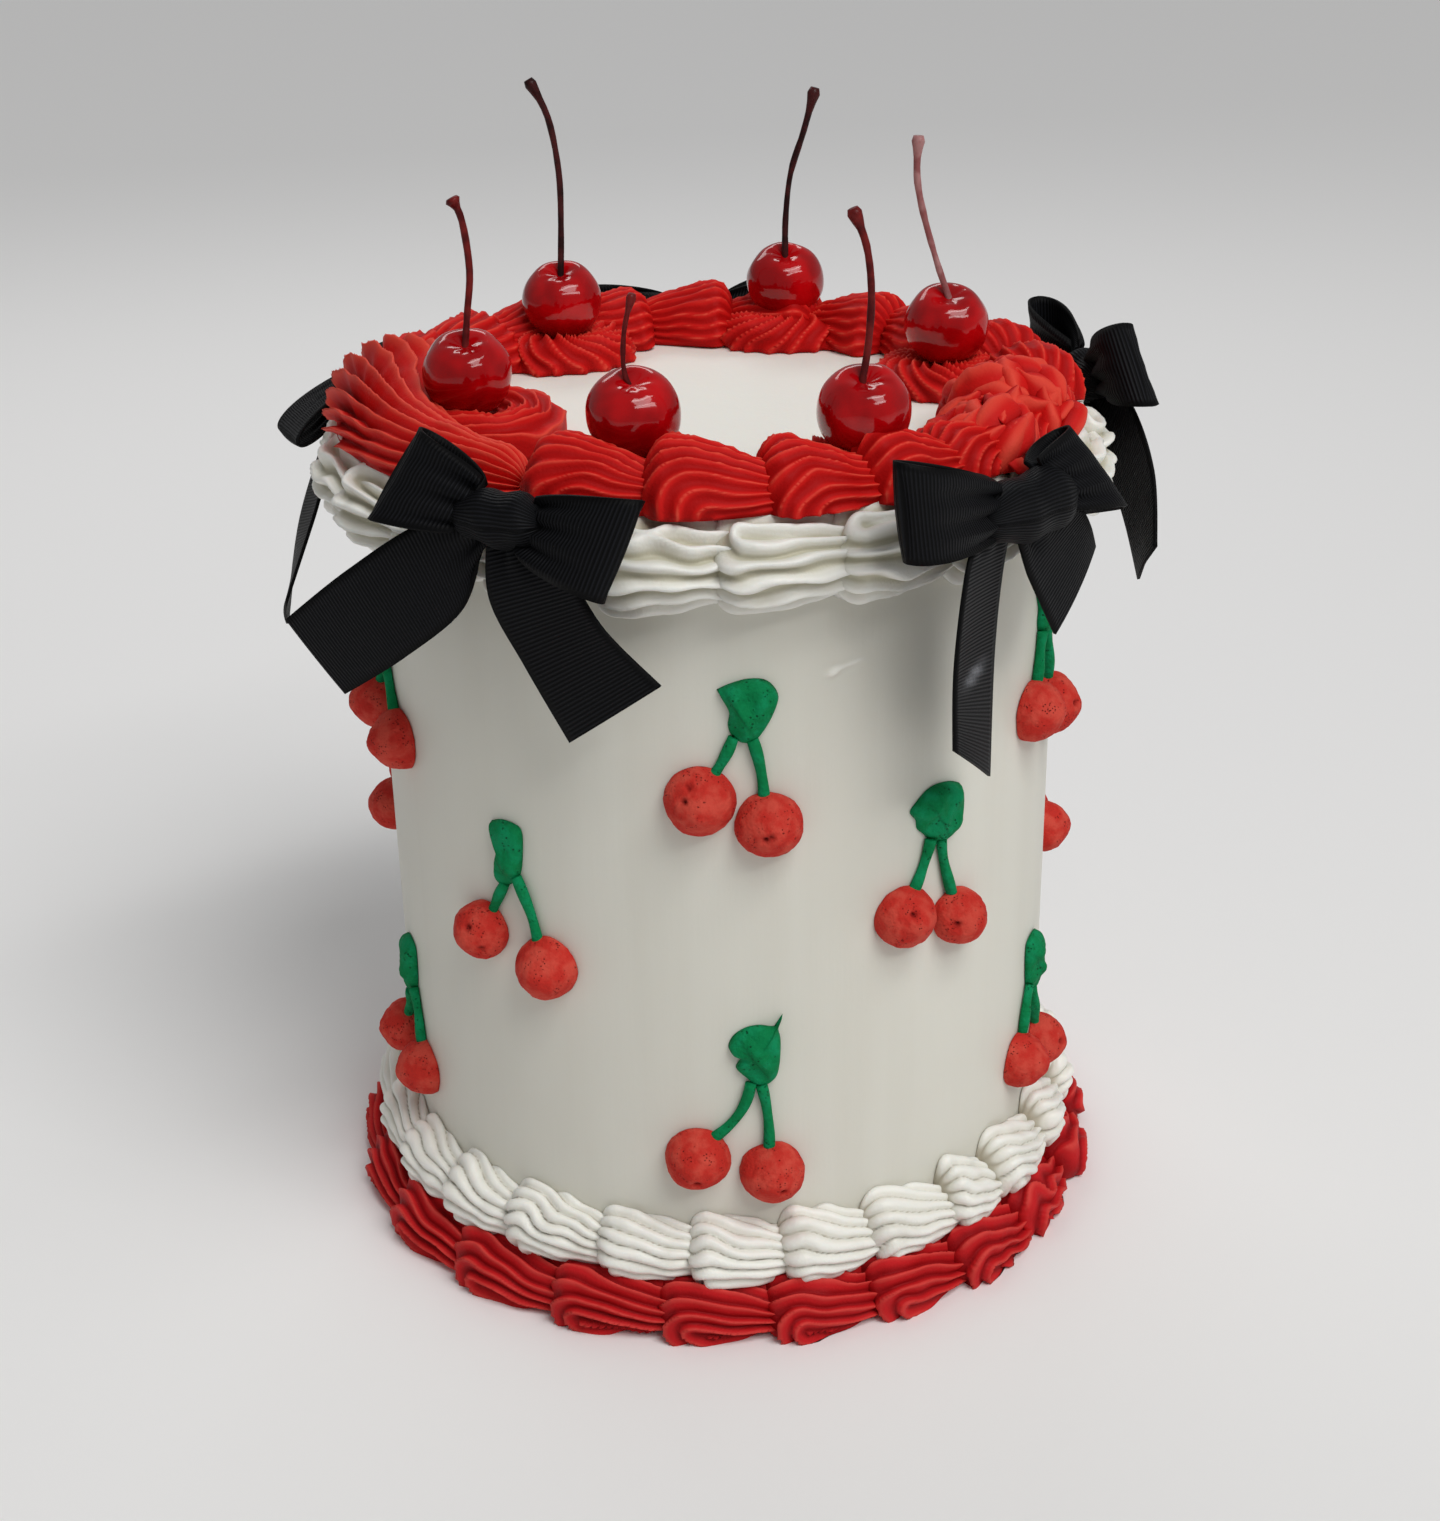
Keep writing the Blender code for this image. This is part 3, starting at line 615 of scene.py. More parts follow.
class Skin:
    """Collects grids of points into one mesh, with values kept at its points."""

    def __init__(self) -> None:
        """Start with nothing."""
        self.points: list[np.ndarray] = []
        self.faces: list[list[int]] = []
        self.values: dict[str, list[np.ndarray]] = {}
        self.count = 0

    def add(self, grid: np.ndarray, values: dict[str, np.ndarray]) -> None:
        """Add a tube of points, each row a closed ring, ended by a point at either end.

        Args:
            grid: Points in metres, as rows by columns by three.
            values: Values by name, as rows by columns.
        """
        rows, columns = grid.shape[:2]
        index = np.arange(rows * columns).reshape(rows, columns) + self.count
        index = np.concatenate((index, index[:, :1]), axis=1)
        quads = np.stack((index[:-1, :-1], index[:-1, 1:], index[1:, 1:], index[1:, :-1]), -1)
        first, last = self.count + rows * columns, self.count + rows * columns + 1
        self.faces += quads.reshape(-1, 4).tolist()
        self.faces += [[first, int(b), int(a)] for a, b in zip(index[0, :-1], index[0, 1:])]
        self.faces += [[last, int(a), int(b)] for a, b in zip(index[-1, :-1], index[-1, 1:])]
        ends = np.stack((grid[0].mean(axis=0), grid[-1].mean(axis=0)))
        self.points += [grid.reshape(-1, 3), ends]
        for name, value in values.items():
            value = np.broadcast_to(value, (rows, columns))
            kept = [value.reshape(-1), np.array([value[0].mean(), value[-1].mean()])]
            self.values.setdefault(name, []).extend(kept)
        self.count += rows * columns + 2

    def build(self, name: str, material: bpy.types.Material) -> bpy.types.Object:
        """Make the object.

        Args:
            name: The piece's name.
            material: Its material.

        Returns:
            The object, with its faces pointing outward.
        """
        mesh = bpy.data.meshes.new(name)
        mesh.from_pydata(np.concatenate(self.points).tolist(), [], self.faces)
        for key, parts in self.values.items():
            kept = mesh.attributes.new(key, "FLOAT", "POINT")
            kept.data.foreach_set("value", np.concatenate(parts).astype(np.float32))
        shape = bmesh.new()
        shape.from_mesh(mesh)
        bmesh.ops.recalc_face_normals(shape, faces=shape.faces)
        shape.to_mesh(mesh)
        shape.free()
        mesh.shade_smooth()
        mesh.materials.append(material)
        return add_object(name, mesh)


def add_object(name: str, data: bpy.types.ID) -> bpy.types.Object:
    """Put a new object in the scene.

    Args:
        name: Its name.
        data: Its mesh, light or camera.

    Returns:
        The object.
    """
    item = bpy.data.objects.new(name, data)
    bpy.context.scene.collection.objects.link(item)
    return item


def grid_normals(grid: np.ndarray, centres: np.ndarray) -> np.ndarray:
    """Unit normals of a grid of closed rings, away from the given centres.

    Args:
        grid: Points, each row a closed ring.
        centres: A centre for each point.

    Returns:
        The normals.
    """
    down = np.gradient(grid, axis=0)
    across = np.roll(grid, -1, axis=1) - np.roll(grid, 1, axis=1)
    normals = unit(np.cross(down, across), 1e-12)
    outward = np.sign(np.sum(normals * (grid - centres), axis=-1, keepdims=True))
    return normals * np.where(outward == 0, 1, outward)


def sheet_normals(sheet: np.ndarray) -> np.ndarray:
    """Unit normals of an open grid of points."""
    return unit(np.cross(np.gradient(sheet, axis=0), np.gradient(sheet, axis=1)), 1e-9)


def fit_piece(piece: bpy.types.Object, nodes: Iterable[str]) -> None:
    """Fix a piece to the cake in place of its solids.

    Args:
        piece: The piece.
        nodes: The solids that it stands for.
    """
    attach(piece, "root")
    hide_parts(*nodes)
    log.info("%s: %d faces", piece.name, len(piece.data.polygons))


# The iced body


def refined(values: np.ndarray, close: np.ndarray) -> np.ndarray:
    """Put closely spaced values in place of those in their range."""
    outside = (values < close[0]) | (values > close[-1])
    return np.sort(np.concatenate((values[outside], close)))


@dataclass
class IcedBody:
    """The tall cake with its smoothed wall, soft top edge and flat underside."""

    columns: int = 224
    wall_rows: int = 64
    top_rows: int = 16
    edge_rows: int = 6
    sag: float = 0.25
    scar: Spot = (17.2, 161.9)
    scar_slope: float = 0.25
    scar_columns: tuple[float, float, int] = (-3.0, 9.0, 34)
    scar_rows: tuple[float, float, int] = (-3.1, 5.2, 22)

    def build(self) -> None:
        """Make the body, with a closer mesh where the scar is."""
        azimuth = np.linspace(-math.pi, math.pi, self.columns, endpoint=False)
        close = np.radians(self.scar[0] + np.linspace(*self.scar_columns))
        azimuth = refined(azimuth, close)[None, :]
        turn = np.linspace(0, math.pi / 2, self.edge_rows)[1:]
        wall = np.linspace(0, BODY_HEIGHT - BODY_EDGE, self.wall_rows)
        wall = refined(wall, self.scar[1] + np.linspace(*self.scar_rows))
        radius = np.concatenate((
            np.full(len(wall), BODY_RADIUS),
            BODY_RADIUS - BODY_EDGE * (1 - np.cos(turn)),
            np.linspace(BODY_RADIUS - BODY_EDGE, 1.5, self.top_rows)[1:],
        ))[:, None]
        height = np.concatenate((
            wall,
            BODY_HEIGHT - BODY_EDGE * (1 - np.sin(turn)),
            np.full(self.top_rows - 1, BODY_HEIGHT),
        ))[:, None]
        grid = ring_points(azimuth, radius, height)
        # top is 1 over the upper edge and the flat top; it shapes the sag there and also marks the painted
        # highlight of the top
        top = np.broadcast_to(smooth(height, BODY_HEIGHT - 2, BODY_HEIGHT), grid.shape[:2])
        inset = self.sag * (0.5 + 0.5 * Wobble(3, 90.0).at(grid)) * smooth(height, 30, 60)
        inset = inset * (1 - smooth(height, 150, 175))
        aside = (azimuth - math.radians(self.scar[0])) * BODY_RADIUS
        above = height - self.scar[1] - self.scar_slope * aside
        ding_and_highlight = np.exp(-(aside / 1.3) ** 2 - (above / 0.8) ** 2)
        line = smooth(aside, -1.5, 0.5) * (1 - smooth(aside, 5.0, 8.5))
        line = line * np.exp(-((above - 0.4) / 0.5) ** 2)
        hollow = np.exp(-((aside - 2.5) / 3.0) ** 2 - ((above + 1.3) / 0.9) ** 2)
        inset = inset - 1.0 * ding_and_highlight - 0.35 * line + 0.3 * hollow
        grid = ring_points(azimuth, radius - inset * (1 - top), height - 0.6 * inset * top)
        skin = Skin()
        # painted highlight: the top value paints the flat top and the scar's raised ding and line lighter
        skin.add(grid, {"top": np.clip(top + 1.3 * ding_and_highlight + 0.7 * line, 0, 1)})
        fit_piece(skin.build("iced_body", WALL.material()), ("cake_body",))


# Borders of piped shells


class RidgeRun(Enum):
    """How the ridges run over a shell."""

    CURL = "nested curls at the head, then along to the tail"
    FAN = "across the shell at its head, then along to the tail"


@dataclass
class ShellBorder:
    """A ring of piped shells. The ridges of a shell curl round a point near its head."""

    name: str
    node: str
    slot: str
    finish: IcingFinish
    count: int
    seen: tuple[float, ...]
    centre: tuple[float, float]
    reach: tuple[float, float]
    arc: tuple[float, float]
    grid: tuple[int, int]
    shape: RidgeShape
    spacing: float
    depth: float
    curl: tuple[float, float]
    slant: float = 0.0
    tail: float = 0.5
    overlap: float = 0.28
    ragged: float = 0.25
    seed: int = 1
    left_out: tuple[float, float] = (0.0, 0.0)
    small: tuple[float, float] = (0.0, 0.0)
    plump: tuple[float, float] = (0.0, 0.0)
    lean: float = 0.0
    fall: float = 0.0
    hidden: int = 8
    ridge_sink: float = 0.62
    small_scale: float = 0.74
    plump_spacing: float = 1.5
    plump_ragged: float = 0.4
    front: tuple[float, float] = (-103.0, 93.0)
    back_detail: float = 0.7

    def starts(self) -> list[float]:
        """Where the shells start: the seen ones, then the rest evenly round the back.

        Returns:
            The azimuths in degrees.
        """
        gap = (360 - (self.seen[-1] - self.seen[0])) / (self.count - len(self.seen) + 1)
        others = [self.seen[-1] + gap * (order + 1) for order in range(self.count - len(self.seen))]
        return list(self.seen) + others

    def width(self, along: np.ndarray) -> np.ndarray:
        """Size along a shell, from its round head to its thin tail.

        Args:
            along: Places from 0 at the head to 1 at the tail.

        Returns:
            The sizes, 1 at most.
        """
        head = 0.2
        rise = np.sqrt(np.clip(1 - (1 - np.clip(along / head, 0, 1)) ** 2, 0, 1))
        fall = 1 - (1 - self.tail) * np.clip((along - head) / (1 - head), 0, 1) ** 1.5
        close = np.sqrt(np.clip(1 - np.clip((along - 0.93) / 0.07, 0, 1) ** 2, 0, 1))
        return rise * fall * close

    def lines(self, run: RidgeRun, along: np.ndarray, across: np.ndarray, length: float) -> np.ndarray:
        """Number of ridges from the curl's middle to each point.

        Args:
            run: How the ridges run.
            along: Distances from the head.
            across: Distances round the section from the curl's middle.
            length: Length of the shell.

        Returns:
            The count of ridges, which need not be whole.
        """
        if run is RidgeRun.CURL:
            beyond = along - self.curl[0] * length
            return np.hypot(np.minimum(beyond, 0), across + self.lean * beyond) / self.spacing
        turn = smooth(along / length, 0.12, 0.62)
        step = np.diff(along, axis=0, prepend=0)
        crossed = np.cumsum(step * (1 - 0.85 * turn), axis=0)
        return ((0.75 + 0.3 * turn) * across - 0.58 * crossed) / (self.spacing * (1.2 - 0.2 * turn))

    def clear(self, radius: np.ndarray, height: np.ndarray) -> tuple[np.ndarray, np.ndarray]:
        """Keep a shell out of the cake, off the ground and near its own side of a seam.

        Args:
            radius: Distances from the axis.
            height: Heights over the ground.

        Returns:
            The radius and height that are allowed.
        """
        if self.node == "top_red_border":
            return radius, np.maximum(height, BODY_HEIGHT + GAP)
        radius = np.maximum(radius, BODY_RADIUS + TOUCH)
        if self.node == "top_white_border":
            return radius, np.minimum(height, BODY_HEIGHT + 1.5)
        seam = BASE_SEAM + (radius - BODY_RADIUS) * BASE_SEAM_SLOPE
        if self.node == "base_white_border":
            return radius, np.maximum(height, seam - 2.5)
        return radius, np.clip(height, 0, seam + 0.5)

    def add_shell(self, skin: Skin, start: float, end: float, seed: int, run: RidgeRun = RidgeRun.CURL,
                  scale: float = 1.0, deepen: float = 0.0, fine: float = 1.0) -> None:
        """Add one shell.

        Args:
            skin: The border's mesh.
            start: Azimuth of the head, in degrees.
            end: Azimuth of the next shell's head.
            seed: Seed of this shell's unevenness.
            run: How the ridges run.
            scale: Size of the shell.
            deepen: Extra depth of the ridges at the head, in millimetres.
            fine: Share of the border's own rows and columns.
        """
        source = np.random.default_rng(seed)
        size = scale * source.uniform(0.95, 1.04)
        lift = source.uniform(-0.5, 0.5)
        rows, columns = (int(number * fine) for number in self.grid)
        along = (np.linspace(0.018, 0.995, rows) ** 1.12)[:, None]
        first, last = (math.radians(angle) for angle in self.arc)
        seen = np.linspace(first, last, columns - self.hidden)
        unseen = np.linspace(last, first + 2 * math.pi, self.hidden + 2)[1:-1]
        angle = np.concatenate((seen, unseen))[None, :]
        width = size * self.width(along)
        middle = self.centre[0] + self.slant * (0.5 - along)
        azimuth = math.radians(start) + math.radians(end - start) * (1 + self.overlap) * along
        radius = middle + self.reach[0] * width * np.sin(angle)
        right = float(smooth(start, 5, 40) * (1 - smooth(start, 80, 110)))
        level = self.centre[1] + lift + self.fall * (0.35 + right) * (0.42 - along)
        height = level - self.reach[1] * width * np.cos(angle)
        grid = ring_points(azimuth, radius, height)
        centres = ring_points(azimuth, middle, level + 0 * angle)
        length = math.radians(end - start) * (1 + self.overlap) * (self.centre[0] + 4)
        across = (angle - math.radians(self.curl[1])) * 0.5 * sum(self.reach)
        count = self.lines(run, along * length, across, length)
        count = count + self.ragged * Wobble(seed + 50, 14.0).at(grid) + source.uniform(-0.12, 0.12)
        relief = self.shape.relief(count)
        fade = smooth(along, 0.0, 0.10) * np.where(angle <= last, 1, 0)
        shoulder = 1 + 0.6 * np.exp(-((angle - 2.2) / 0.6) ** 2)
        depth = self.depth + deepen * (1 - smooth(along, 0.3, 0.7)) * shoulder
        depth = depth * (1 + 0.25 * Wobble(seed + 90, 22.0).at(grid))
        raised = depth * (relief - self.ridge_sink) * fade * np.minimum(1, 0.35 + width)
        raised = raised + 0.35 * Wobble(seed + 130, 9.0).at(grid) * fade
        grid = grid + grid_normals(grid, centres) * raised[..., None] * MM
        radius, height = np.hypot(grid[..., 0], grid[..., 1]) / MM, grid[..., 2] / MM
        azimuth = np.arctan2(grid[..., 0], -grid[..., 1])
        radius, height = self.clear(radius, height)
        skin.add(ring_points(azimuth, radius, height), {"crest": relief * fade})

    def special(self, skin: Skin) -> None:
        """Add what is piped only once in the ring: nothing, for a plain border."""

    def build(self) -> None:
        """Make the border."""
        skin = Skin()
        starts = self.starts()
        for order, start in enumerate(starts):
            end = starts[order + 1] if order + 1 < len(starts) else starts[0] + 360
            turned = (start + 180) % 360 - 180
            if not self.left_out[0] <= turned < self.left_out[1]:
                scale = self.small_scale if self.small[0] <= turned < self.small[1] else 1.0
                fine = 1.0 if self.front[0] < turned < self.front[1] else self.back_detail
                border = self
                if self.plump[0] <= turned < self.plump[1]:
                    spacing = self.plump_spacing * self.spacing
                    border = replace(self, spacing=spacing, ragged=self.plump_ragged)
                border.add_shell(skin, start, end, self.seed + 7 * order, scale=scale, fine=fine)
        self.special(skin)
        fit_piece(skin.build(self.name, self.finish.material()), (self.node,))


@dataclass
class RimBorder(ShellBorder):
    """The red border on the rim, with one long fan of fins at the left."""

    fan: tuple[float, float] = (-113.0, -30.0)
    fin_depth: float = 3.2

    def special(self, skin: Skin) -> None:
        """Add the fan of fins, which runs out into long ridges.

        Args:
            skin: The border's mesh.
        """
        fan = replace(self, shape=RidgeShape.PETAL, spacing=4.0, depth=1.7, ragged=0.1,
                      tail=0.5, grid=(230, 140))
        end = self.fan[0] + (self.fan[1] - self.fan[0]) / (1 + self.overlap)
        fan.add_shell(skin, self.fan[0], end, self.seed + 500, RidgeRun.FAN, deepen=self.fin_depth)


TOP_RED = RimBorder(
    "rim_red_piping", "top_red_border", "red_icing", RED_PIPING, 21, (-29.6, -11.4, 6.2, 21.9, 36.4),
    (76.0, 200.0), (13.8, 12.6), (84, 277), (42, 100), RidgeShape.CREST, 3.5, 1.15, (0.5, 84), -3.0, 0.4,
    0.30, 0.2, 11, (-110.0, -35.0), (36.0, 80.0), lean=0.1)
TOP_WHITE = ShellBorder(
    "rim_white_piping", "top_white_border", "white_icing", RIM_WHITE_PIPING, 22, (-17.5, -0.9, 15.8, 32.3),
    (82.3, 188.6), (12.0, 10.2), (0, 180), (44, 76), RidgeShape.FOLD, 5.0, 2.8, (0.2, 142), 0.0, 0.6,
    0.28, 0.3, 31)
BASE_WHITE = ShellBorder(
    "base_white_piping", "base_white_border", "white_icing", WHITE_PIPING, 25,
    (-51.1, -37.9, -21.4, -6.7, 7.6, 21.7, 37.2, 47.9, 64.4),
    (82.3, 19.0), (9.6, 9.4), (0, 180), (44, 80), RidgeShape.LOBE, 3.7, 1.8, (0.3, 48), 0.0, 0.56,
    0.24, 0.3, 51, lean=0.26, fall=4.5)
BASE_RED = ShellBorder(
    "base_red_piping", "base_red_border", "red_icing", BASE_RED_PIPING, 22,
    (-46.9, -28.0, -11.2, 5.0, 20.6, 35.8, 51.2, 68.4),
    (86.0, 4.5), (11.2, 10.8), (60, 196), (44, 96), RidgeShape.PETAL, 3.8, 2.2, (0.32, 80), 0.0, 0.58,
    0.24, 0.22, 71, plump=(46.0, 100.0), lean=0.2, fall=3.5)


# Rosettes on the rim


class Swirl(Enum):
    """How the ridges of a rosette run."""

    ROPE = "slanted across the mound like the strands of a rope"
    RINGS = "round and round the mound"


@dataclass
class Mound:
    """One piped mound: a low dome with a dip in its middle."""

    azimuth: float
    distance: float
    radius: float
    height: float
    dip: float
    swirl: Swirl
    shape: RidgeShape
    strands: float
    slope: float
    depth: float
    seed: int
    grid: tuple[int, int] = (52, 96)
    ridge_sink: float = 0.6

    def add_to(self, skin: Skin) -> None:
        """Add the mound to a mesh.

        Args:
            skin: The mesh.
        """
        turn = np.linspace(0.05, math.pi / 2, self.grid[0])[:, None]
        around = round_turn(self.grid[1])[None, :]
        share = np.sin(turn) ** 0.9
        reach = self.radius * share * (1 + 0.05 * np.sin(3 * around + self.seed))
        rise = self.height * np.cos(turn) ** 0.62 - self.dip * np.exp(-(share / 0.42) ** 2)
        rise = np.maximum(rise, 0) + 0 * around
        if self.swirl is Swirl.ROPE:
            count = self.strands * around / FULL_TURN + self.slope * turn
        else:
            count = self.strands * share + around / FULL_TURN
        out, side = facing(self.azimuth)
        foot = out * self.distance + UPWARD * (BODY_HEIGHT + GAP)
        aside = np.cos(around)[..., None] * side + np.sin(around)[..., None] * out
        grid = (foot + reach[..., None] * aside + rise[..., None] * UPWARD) * MM
        wobble = Wobble(self.seed + 20, 11.0).at(grid)
        relief = self.shape.relief(count + 0.22 * wobble)
        fade = smooth(share, 0.08, 0.3)
        centres = np.broadcast_to((foot - UPWARD * GAP) * MM, grid.shape)
        raised = self.depth * (relief - self.ridge_sink) * fade + 0.5 * wobble
        grid = grid + grid_normals(grid, centres) * raised[..., None] * MM
        grid[..., 2] = np.maximum(grid[..., 2], (BODY_HEIGHT + GAP) * MM)
        skin.add(grid, {"crest": relief * fade})


ROSETTES = (
    Mound(-66, 57, 20.5, 10.5, 5.0, Swirl.RINGS, RidgeShape.CREST, 6.5, 0, 1.8, 2, (64, 120)),
    Mound(-144.4, 64, 17, 9.5, 3.5, Swirl.ROPE, RidgeShape.CREST, 17, 2.2, 2.0, 3),
    Mound(164.8, 73, 17, 9.5, 3.5, Swirl.ROPE, RidgeShape.CREST, 18, -2.2, 2.0, 4),
    Mound(107.6, 59, 17, 9.0, 3.5, Swirl.ROPE, RidgeShape.CREST, 18, 2.4, 2.0, 5),
    Mound(27.3, 67, 15, 9.0, 3.0, Swirl.ROPE, RidgeShape.CREST, 16, -2.4, 1.8, 6),
    Mound(-12.5, 62, 14, 9.0, 3.0, Swirl.ROPE, RidgeShape.CREST, 15, -2.4, 1.8, 7),
    Mound(67, 71, 14.5, 10.0, 0.0, Swirl.ROPE, RidgeShape.PETAL, 9, 1.3, 1.2, 8, (34, 70)),
    Mound(53, 74.5, 12, 7.5, 0.0, Swirl.ROPE, RidgeShape.PETAL, 8, 1.3, 1.2, 9, (30, 60)),
)


@dataclass
class PetalHeap:
    """A tall heap of ragged petals, each a thick tongue that climbs round the heap."""

    azimuth: float
    distance: float
    radius: float
    height: float
    count: int
    seed: int
    length: float = 15.0
    width: float = 3.7
    thickness: float = 4.0
    climb: float = 40.0
    petal_grid: tuple[int, int] = (24, 18)

    def petal(self, source: np.random.Generator, share: float,
              around: float) -> tuple[np.ndarray, np.ndarray]:
        """Make one petal.

        Args:
            source: Where its unevenness is drawn from.
            share: 0 at the top of the heap and 1 at its foot.
            around: Angle round the heap.

        Returns:
            Its points from the heap's foot, and the height of its crest.
        """
        fall = math.radians(10 + 70 * share ** 0.7)
        direction = np.array((math.cos(around), math.sin(around), 0.0))
        normal = direction * math.sin(fall) + UPWARD * math.cos(fall)
        uphill = UPWARD * math.sin(fall) - direction * math.cos(fall)
        climb = math.radians(self.climb + source.normal(0, 30))
        axis = uphill * math.cos(climb) + np.cross(normal, uphill) * math.sin(climb)
        across = np.cross(normal, axis)
        size = source.uniform(0.6, 1.3)
        step = np.linspace(0.03, 0.98, self.petal_grid[0])[:, None]
        turn = round_turn(self.petal_grid[1])[None, :]
        swell = np.sin(math.pi * step ** source.uniform(0.6, 1.1)) ** 0.75
        along = (step - 0.45) * self.length * size
        half = self.width * size * swell * np.cos(turn)
        crest = np.clip(np.sin(turn), 0, 1) ** 2 * (0.8 + 0.2 * np.cos(3 * turn))
        rise = self.thickness * size * swell * (crest - 0.5 * np.clip(-np.sin(turn), 0, 1))
        rise = rise - along ** 2 / (2.4 * self.radius) + 1.8 * step ** 4 + 0.4 * source.normal() * half
        rise = rise + source.uniform(-1.2, 0.8)
        middle = direction * self.radius * math.sin(fall) + UPWARD * self.height * math.cos(fall)
        points = middle + along[..., None] * axis + half[..., None] * across + rise[..., None] * normal
        return points, np.broadcast_to(crest, points.shape[:2])

    def add_to(self, skin: Skin) -> None:
        """Add the petals to a mesh.

        Args:
            skin: The mesh.
        """
        source = np.random.default_rng(self.seed)
        out, side = facing(self.azimuth)
        golden = math.pi * (3 - math.sqrt(5))
        for order in range(self.count):
            around = order * golden + source.uniform(-0.5, 0.5)
            local, crest = self.petal(source, (order + 0.5) / self.count, around)
            points = out * (self.distance + local[..., 1:2]) + side * local[..., :1]
            points = points + UPWARD * (BODY_HEIGHT + GAP + local[..., 2:])
            points = points + 0.45 * Wobble(self.seed + order, 6.0).at(points * MM)[..., None]
            points[..., 2] = np.maximum(points[..., 2], BODY_HEIGHT + GAP)
            skin.add(points * MM, {"crest": crest})


PETAL_HEAPS = (PetalHeap(67, 71, 14.5, 13.6, 48, 12), PetalHeap(53, 75, 11.0, 9.5, 30, 13))


def build_rosettes() -> None:
    """Make the rosettes under the cherries and the tall one at the right."""
    skin = Skin()
    for swirl in ROSETTES + PETAL_HEAPS:
        swirl.add_to(skin)
    fit_piece(skin.build("rim_rosettes", RED_PIPING.material()), ("top_red_border",))


# Cherries


@dataclass
class StemmedCherry:
    """A candied cherry with its stem, given by points to the side of and above its middle."""

    name: str
    azimuth: float
    distance: float
    stem: tuple[tuple[float, float], ...]
    seed: int
    finish: FruitFinish = CHERRY
    radius: float = 10.2
    middle_height: float = 213.5
    squash: float = 0.98
    dimple: float = 2.7
    stem_radius: float = 0.9
    lean: float = 24.0
    foot: float = 5.6
    fruit_grid: tuple[int, int] = (44, 64)
    stem_rows: int = 26
    stem_sides: int = 10

    def fruit(self, skin: Skin) -> None:
        """Add the fruit, with its dimple and the wrinkles round it.

        Args:
            skin: The cherry's mesh.
        """
        turn = np.linspace(0.03, math.pi - 0.03, self.fruit_grid[0])[:, None]
        around = round_turn(self.fruit_grid[1])[None, :]
        dimple = self.dimple * np.exp(-(turn / 0.36) ** 2)
        direction = ball_directions(turn, around)
        dents = 0.22 * Wobble(self.seed, 9.0).at(direction * self.radius * MM)
        creases = 0.1 * np.cos(7 * around + 2.5 * np.sin(around + self.seed))
        creases = creases * np.exp(-((turn - 0.36) / 0.2) ** 2)
        reach = self.radius - 0.15 + dents + creases
        local = direction * reach[..., None]
        across, up = local[..., 1], local[..., 2] * self.squash - dimple
        lean = math.radians(self.lean)
        local = np.stack((local[..., 0], across * math.cos(lean) - up * math.sin(lean),
                          across * math.sin(lean) + up * math.cos(lean)), -1)
        middle = ring_points(math.radians(self.azimuth), self.distance, self.middle_height)
        skin.add(middle + local * MM, {"stem": 0 * turn + 0 * around})

    def stalk(self, skin: Skin) -> None:
        """Add the stem, with a flared foot and a knob at its end.

        Args:
            skin: The cherry's mesh.
        """
        keys = np.array([(0.0, self.foot), *self.stem])
        sideways, up = smooth_path(keys, self.stem_rows).T
        share = np.linspace(0, 1, len(up))
        thick = self.stem_radius * (1 + 0.5 * np.exp(-(share / 0.07) ** 2) - 0.12 * np.sin(math.pi * share))
        thick = thick * (1 + 0.85 * smooth(share, 0.88, 0.965))
        thick = thick * np.sqrt(1 - smooth(share, 0.955, 1.03) * 0.75)
        around = round_turn(self.stem_sides)
        middle = ring_points(math.radians(self.azimuth), self.distance, self.middle_height)
        forward = 6.0 * math.sin(math.radians(self.lean)) * (1 - smooth(up, 5, 24))
        path = np.stack((sideways, -forward, up), -1)
        along = unit(np.gradient(path, axis=0))
        level = np.array((0.0, 1.0, 0.0))
        other = np.cross(along, level)
        ring = np.cos(around)[None, :, None] * level + np.sin(around)[None, :, None] * other[:, None, :]
        uneven = 1 + 0.1 * Wobble(self.seed + 5, 5.0).at(path * MM)
        grid = path[:, None, :] + ring * (thick * uneven)[:, None, None]
        skin.add(middle + grid * MM, {"stem": np.ones((len(up), self.stem_sides))})

    def build(self) -> None:
        """Make the cherry."""
        skin = Skin()
        self.fruit(skin)
        self.stalk(skin)
        material = bpy.data.materials.get(self.finish.name) or self.finish.material()
        fit_piece(skin.build("fruit_" + self.name, material), (self.name,))


def smooth_path(keys: np.ndarray, count: int) -> np.ndarray:
    """Points of a smooth curve through keys.

    Args:
        keys: The points to pass, one to a row.
        count: How many points to make.

    Returns:
        The points, one to a row.
    """
    place = np.linspace(0, len(keys) - 1, count)
    index = np.minimum(place.astype(int), len(keys) - 2)
    share = (place - index)[:, None]
    before, after = keys[np.maximum(index - 1, 0)], keys[np.minimum(index + 2, len(keys) - 1)]
    near, far = keys[index], keys[index + 1]
    return (near + 0.5 * share * (far - before + share * (2 * before - 5 * near + 4 * far - after
            + share * (3 * (near - far) + after - before))))


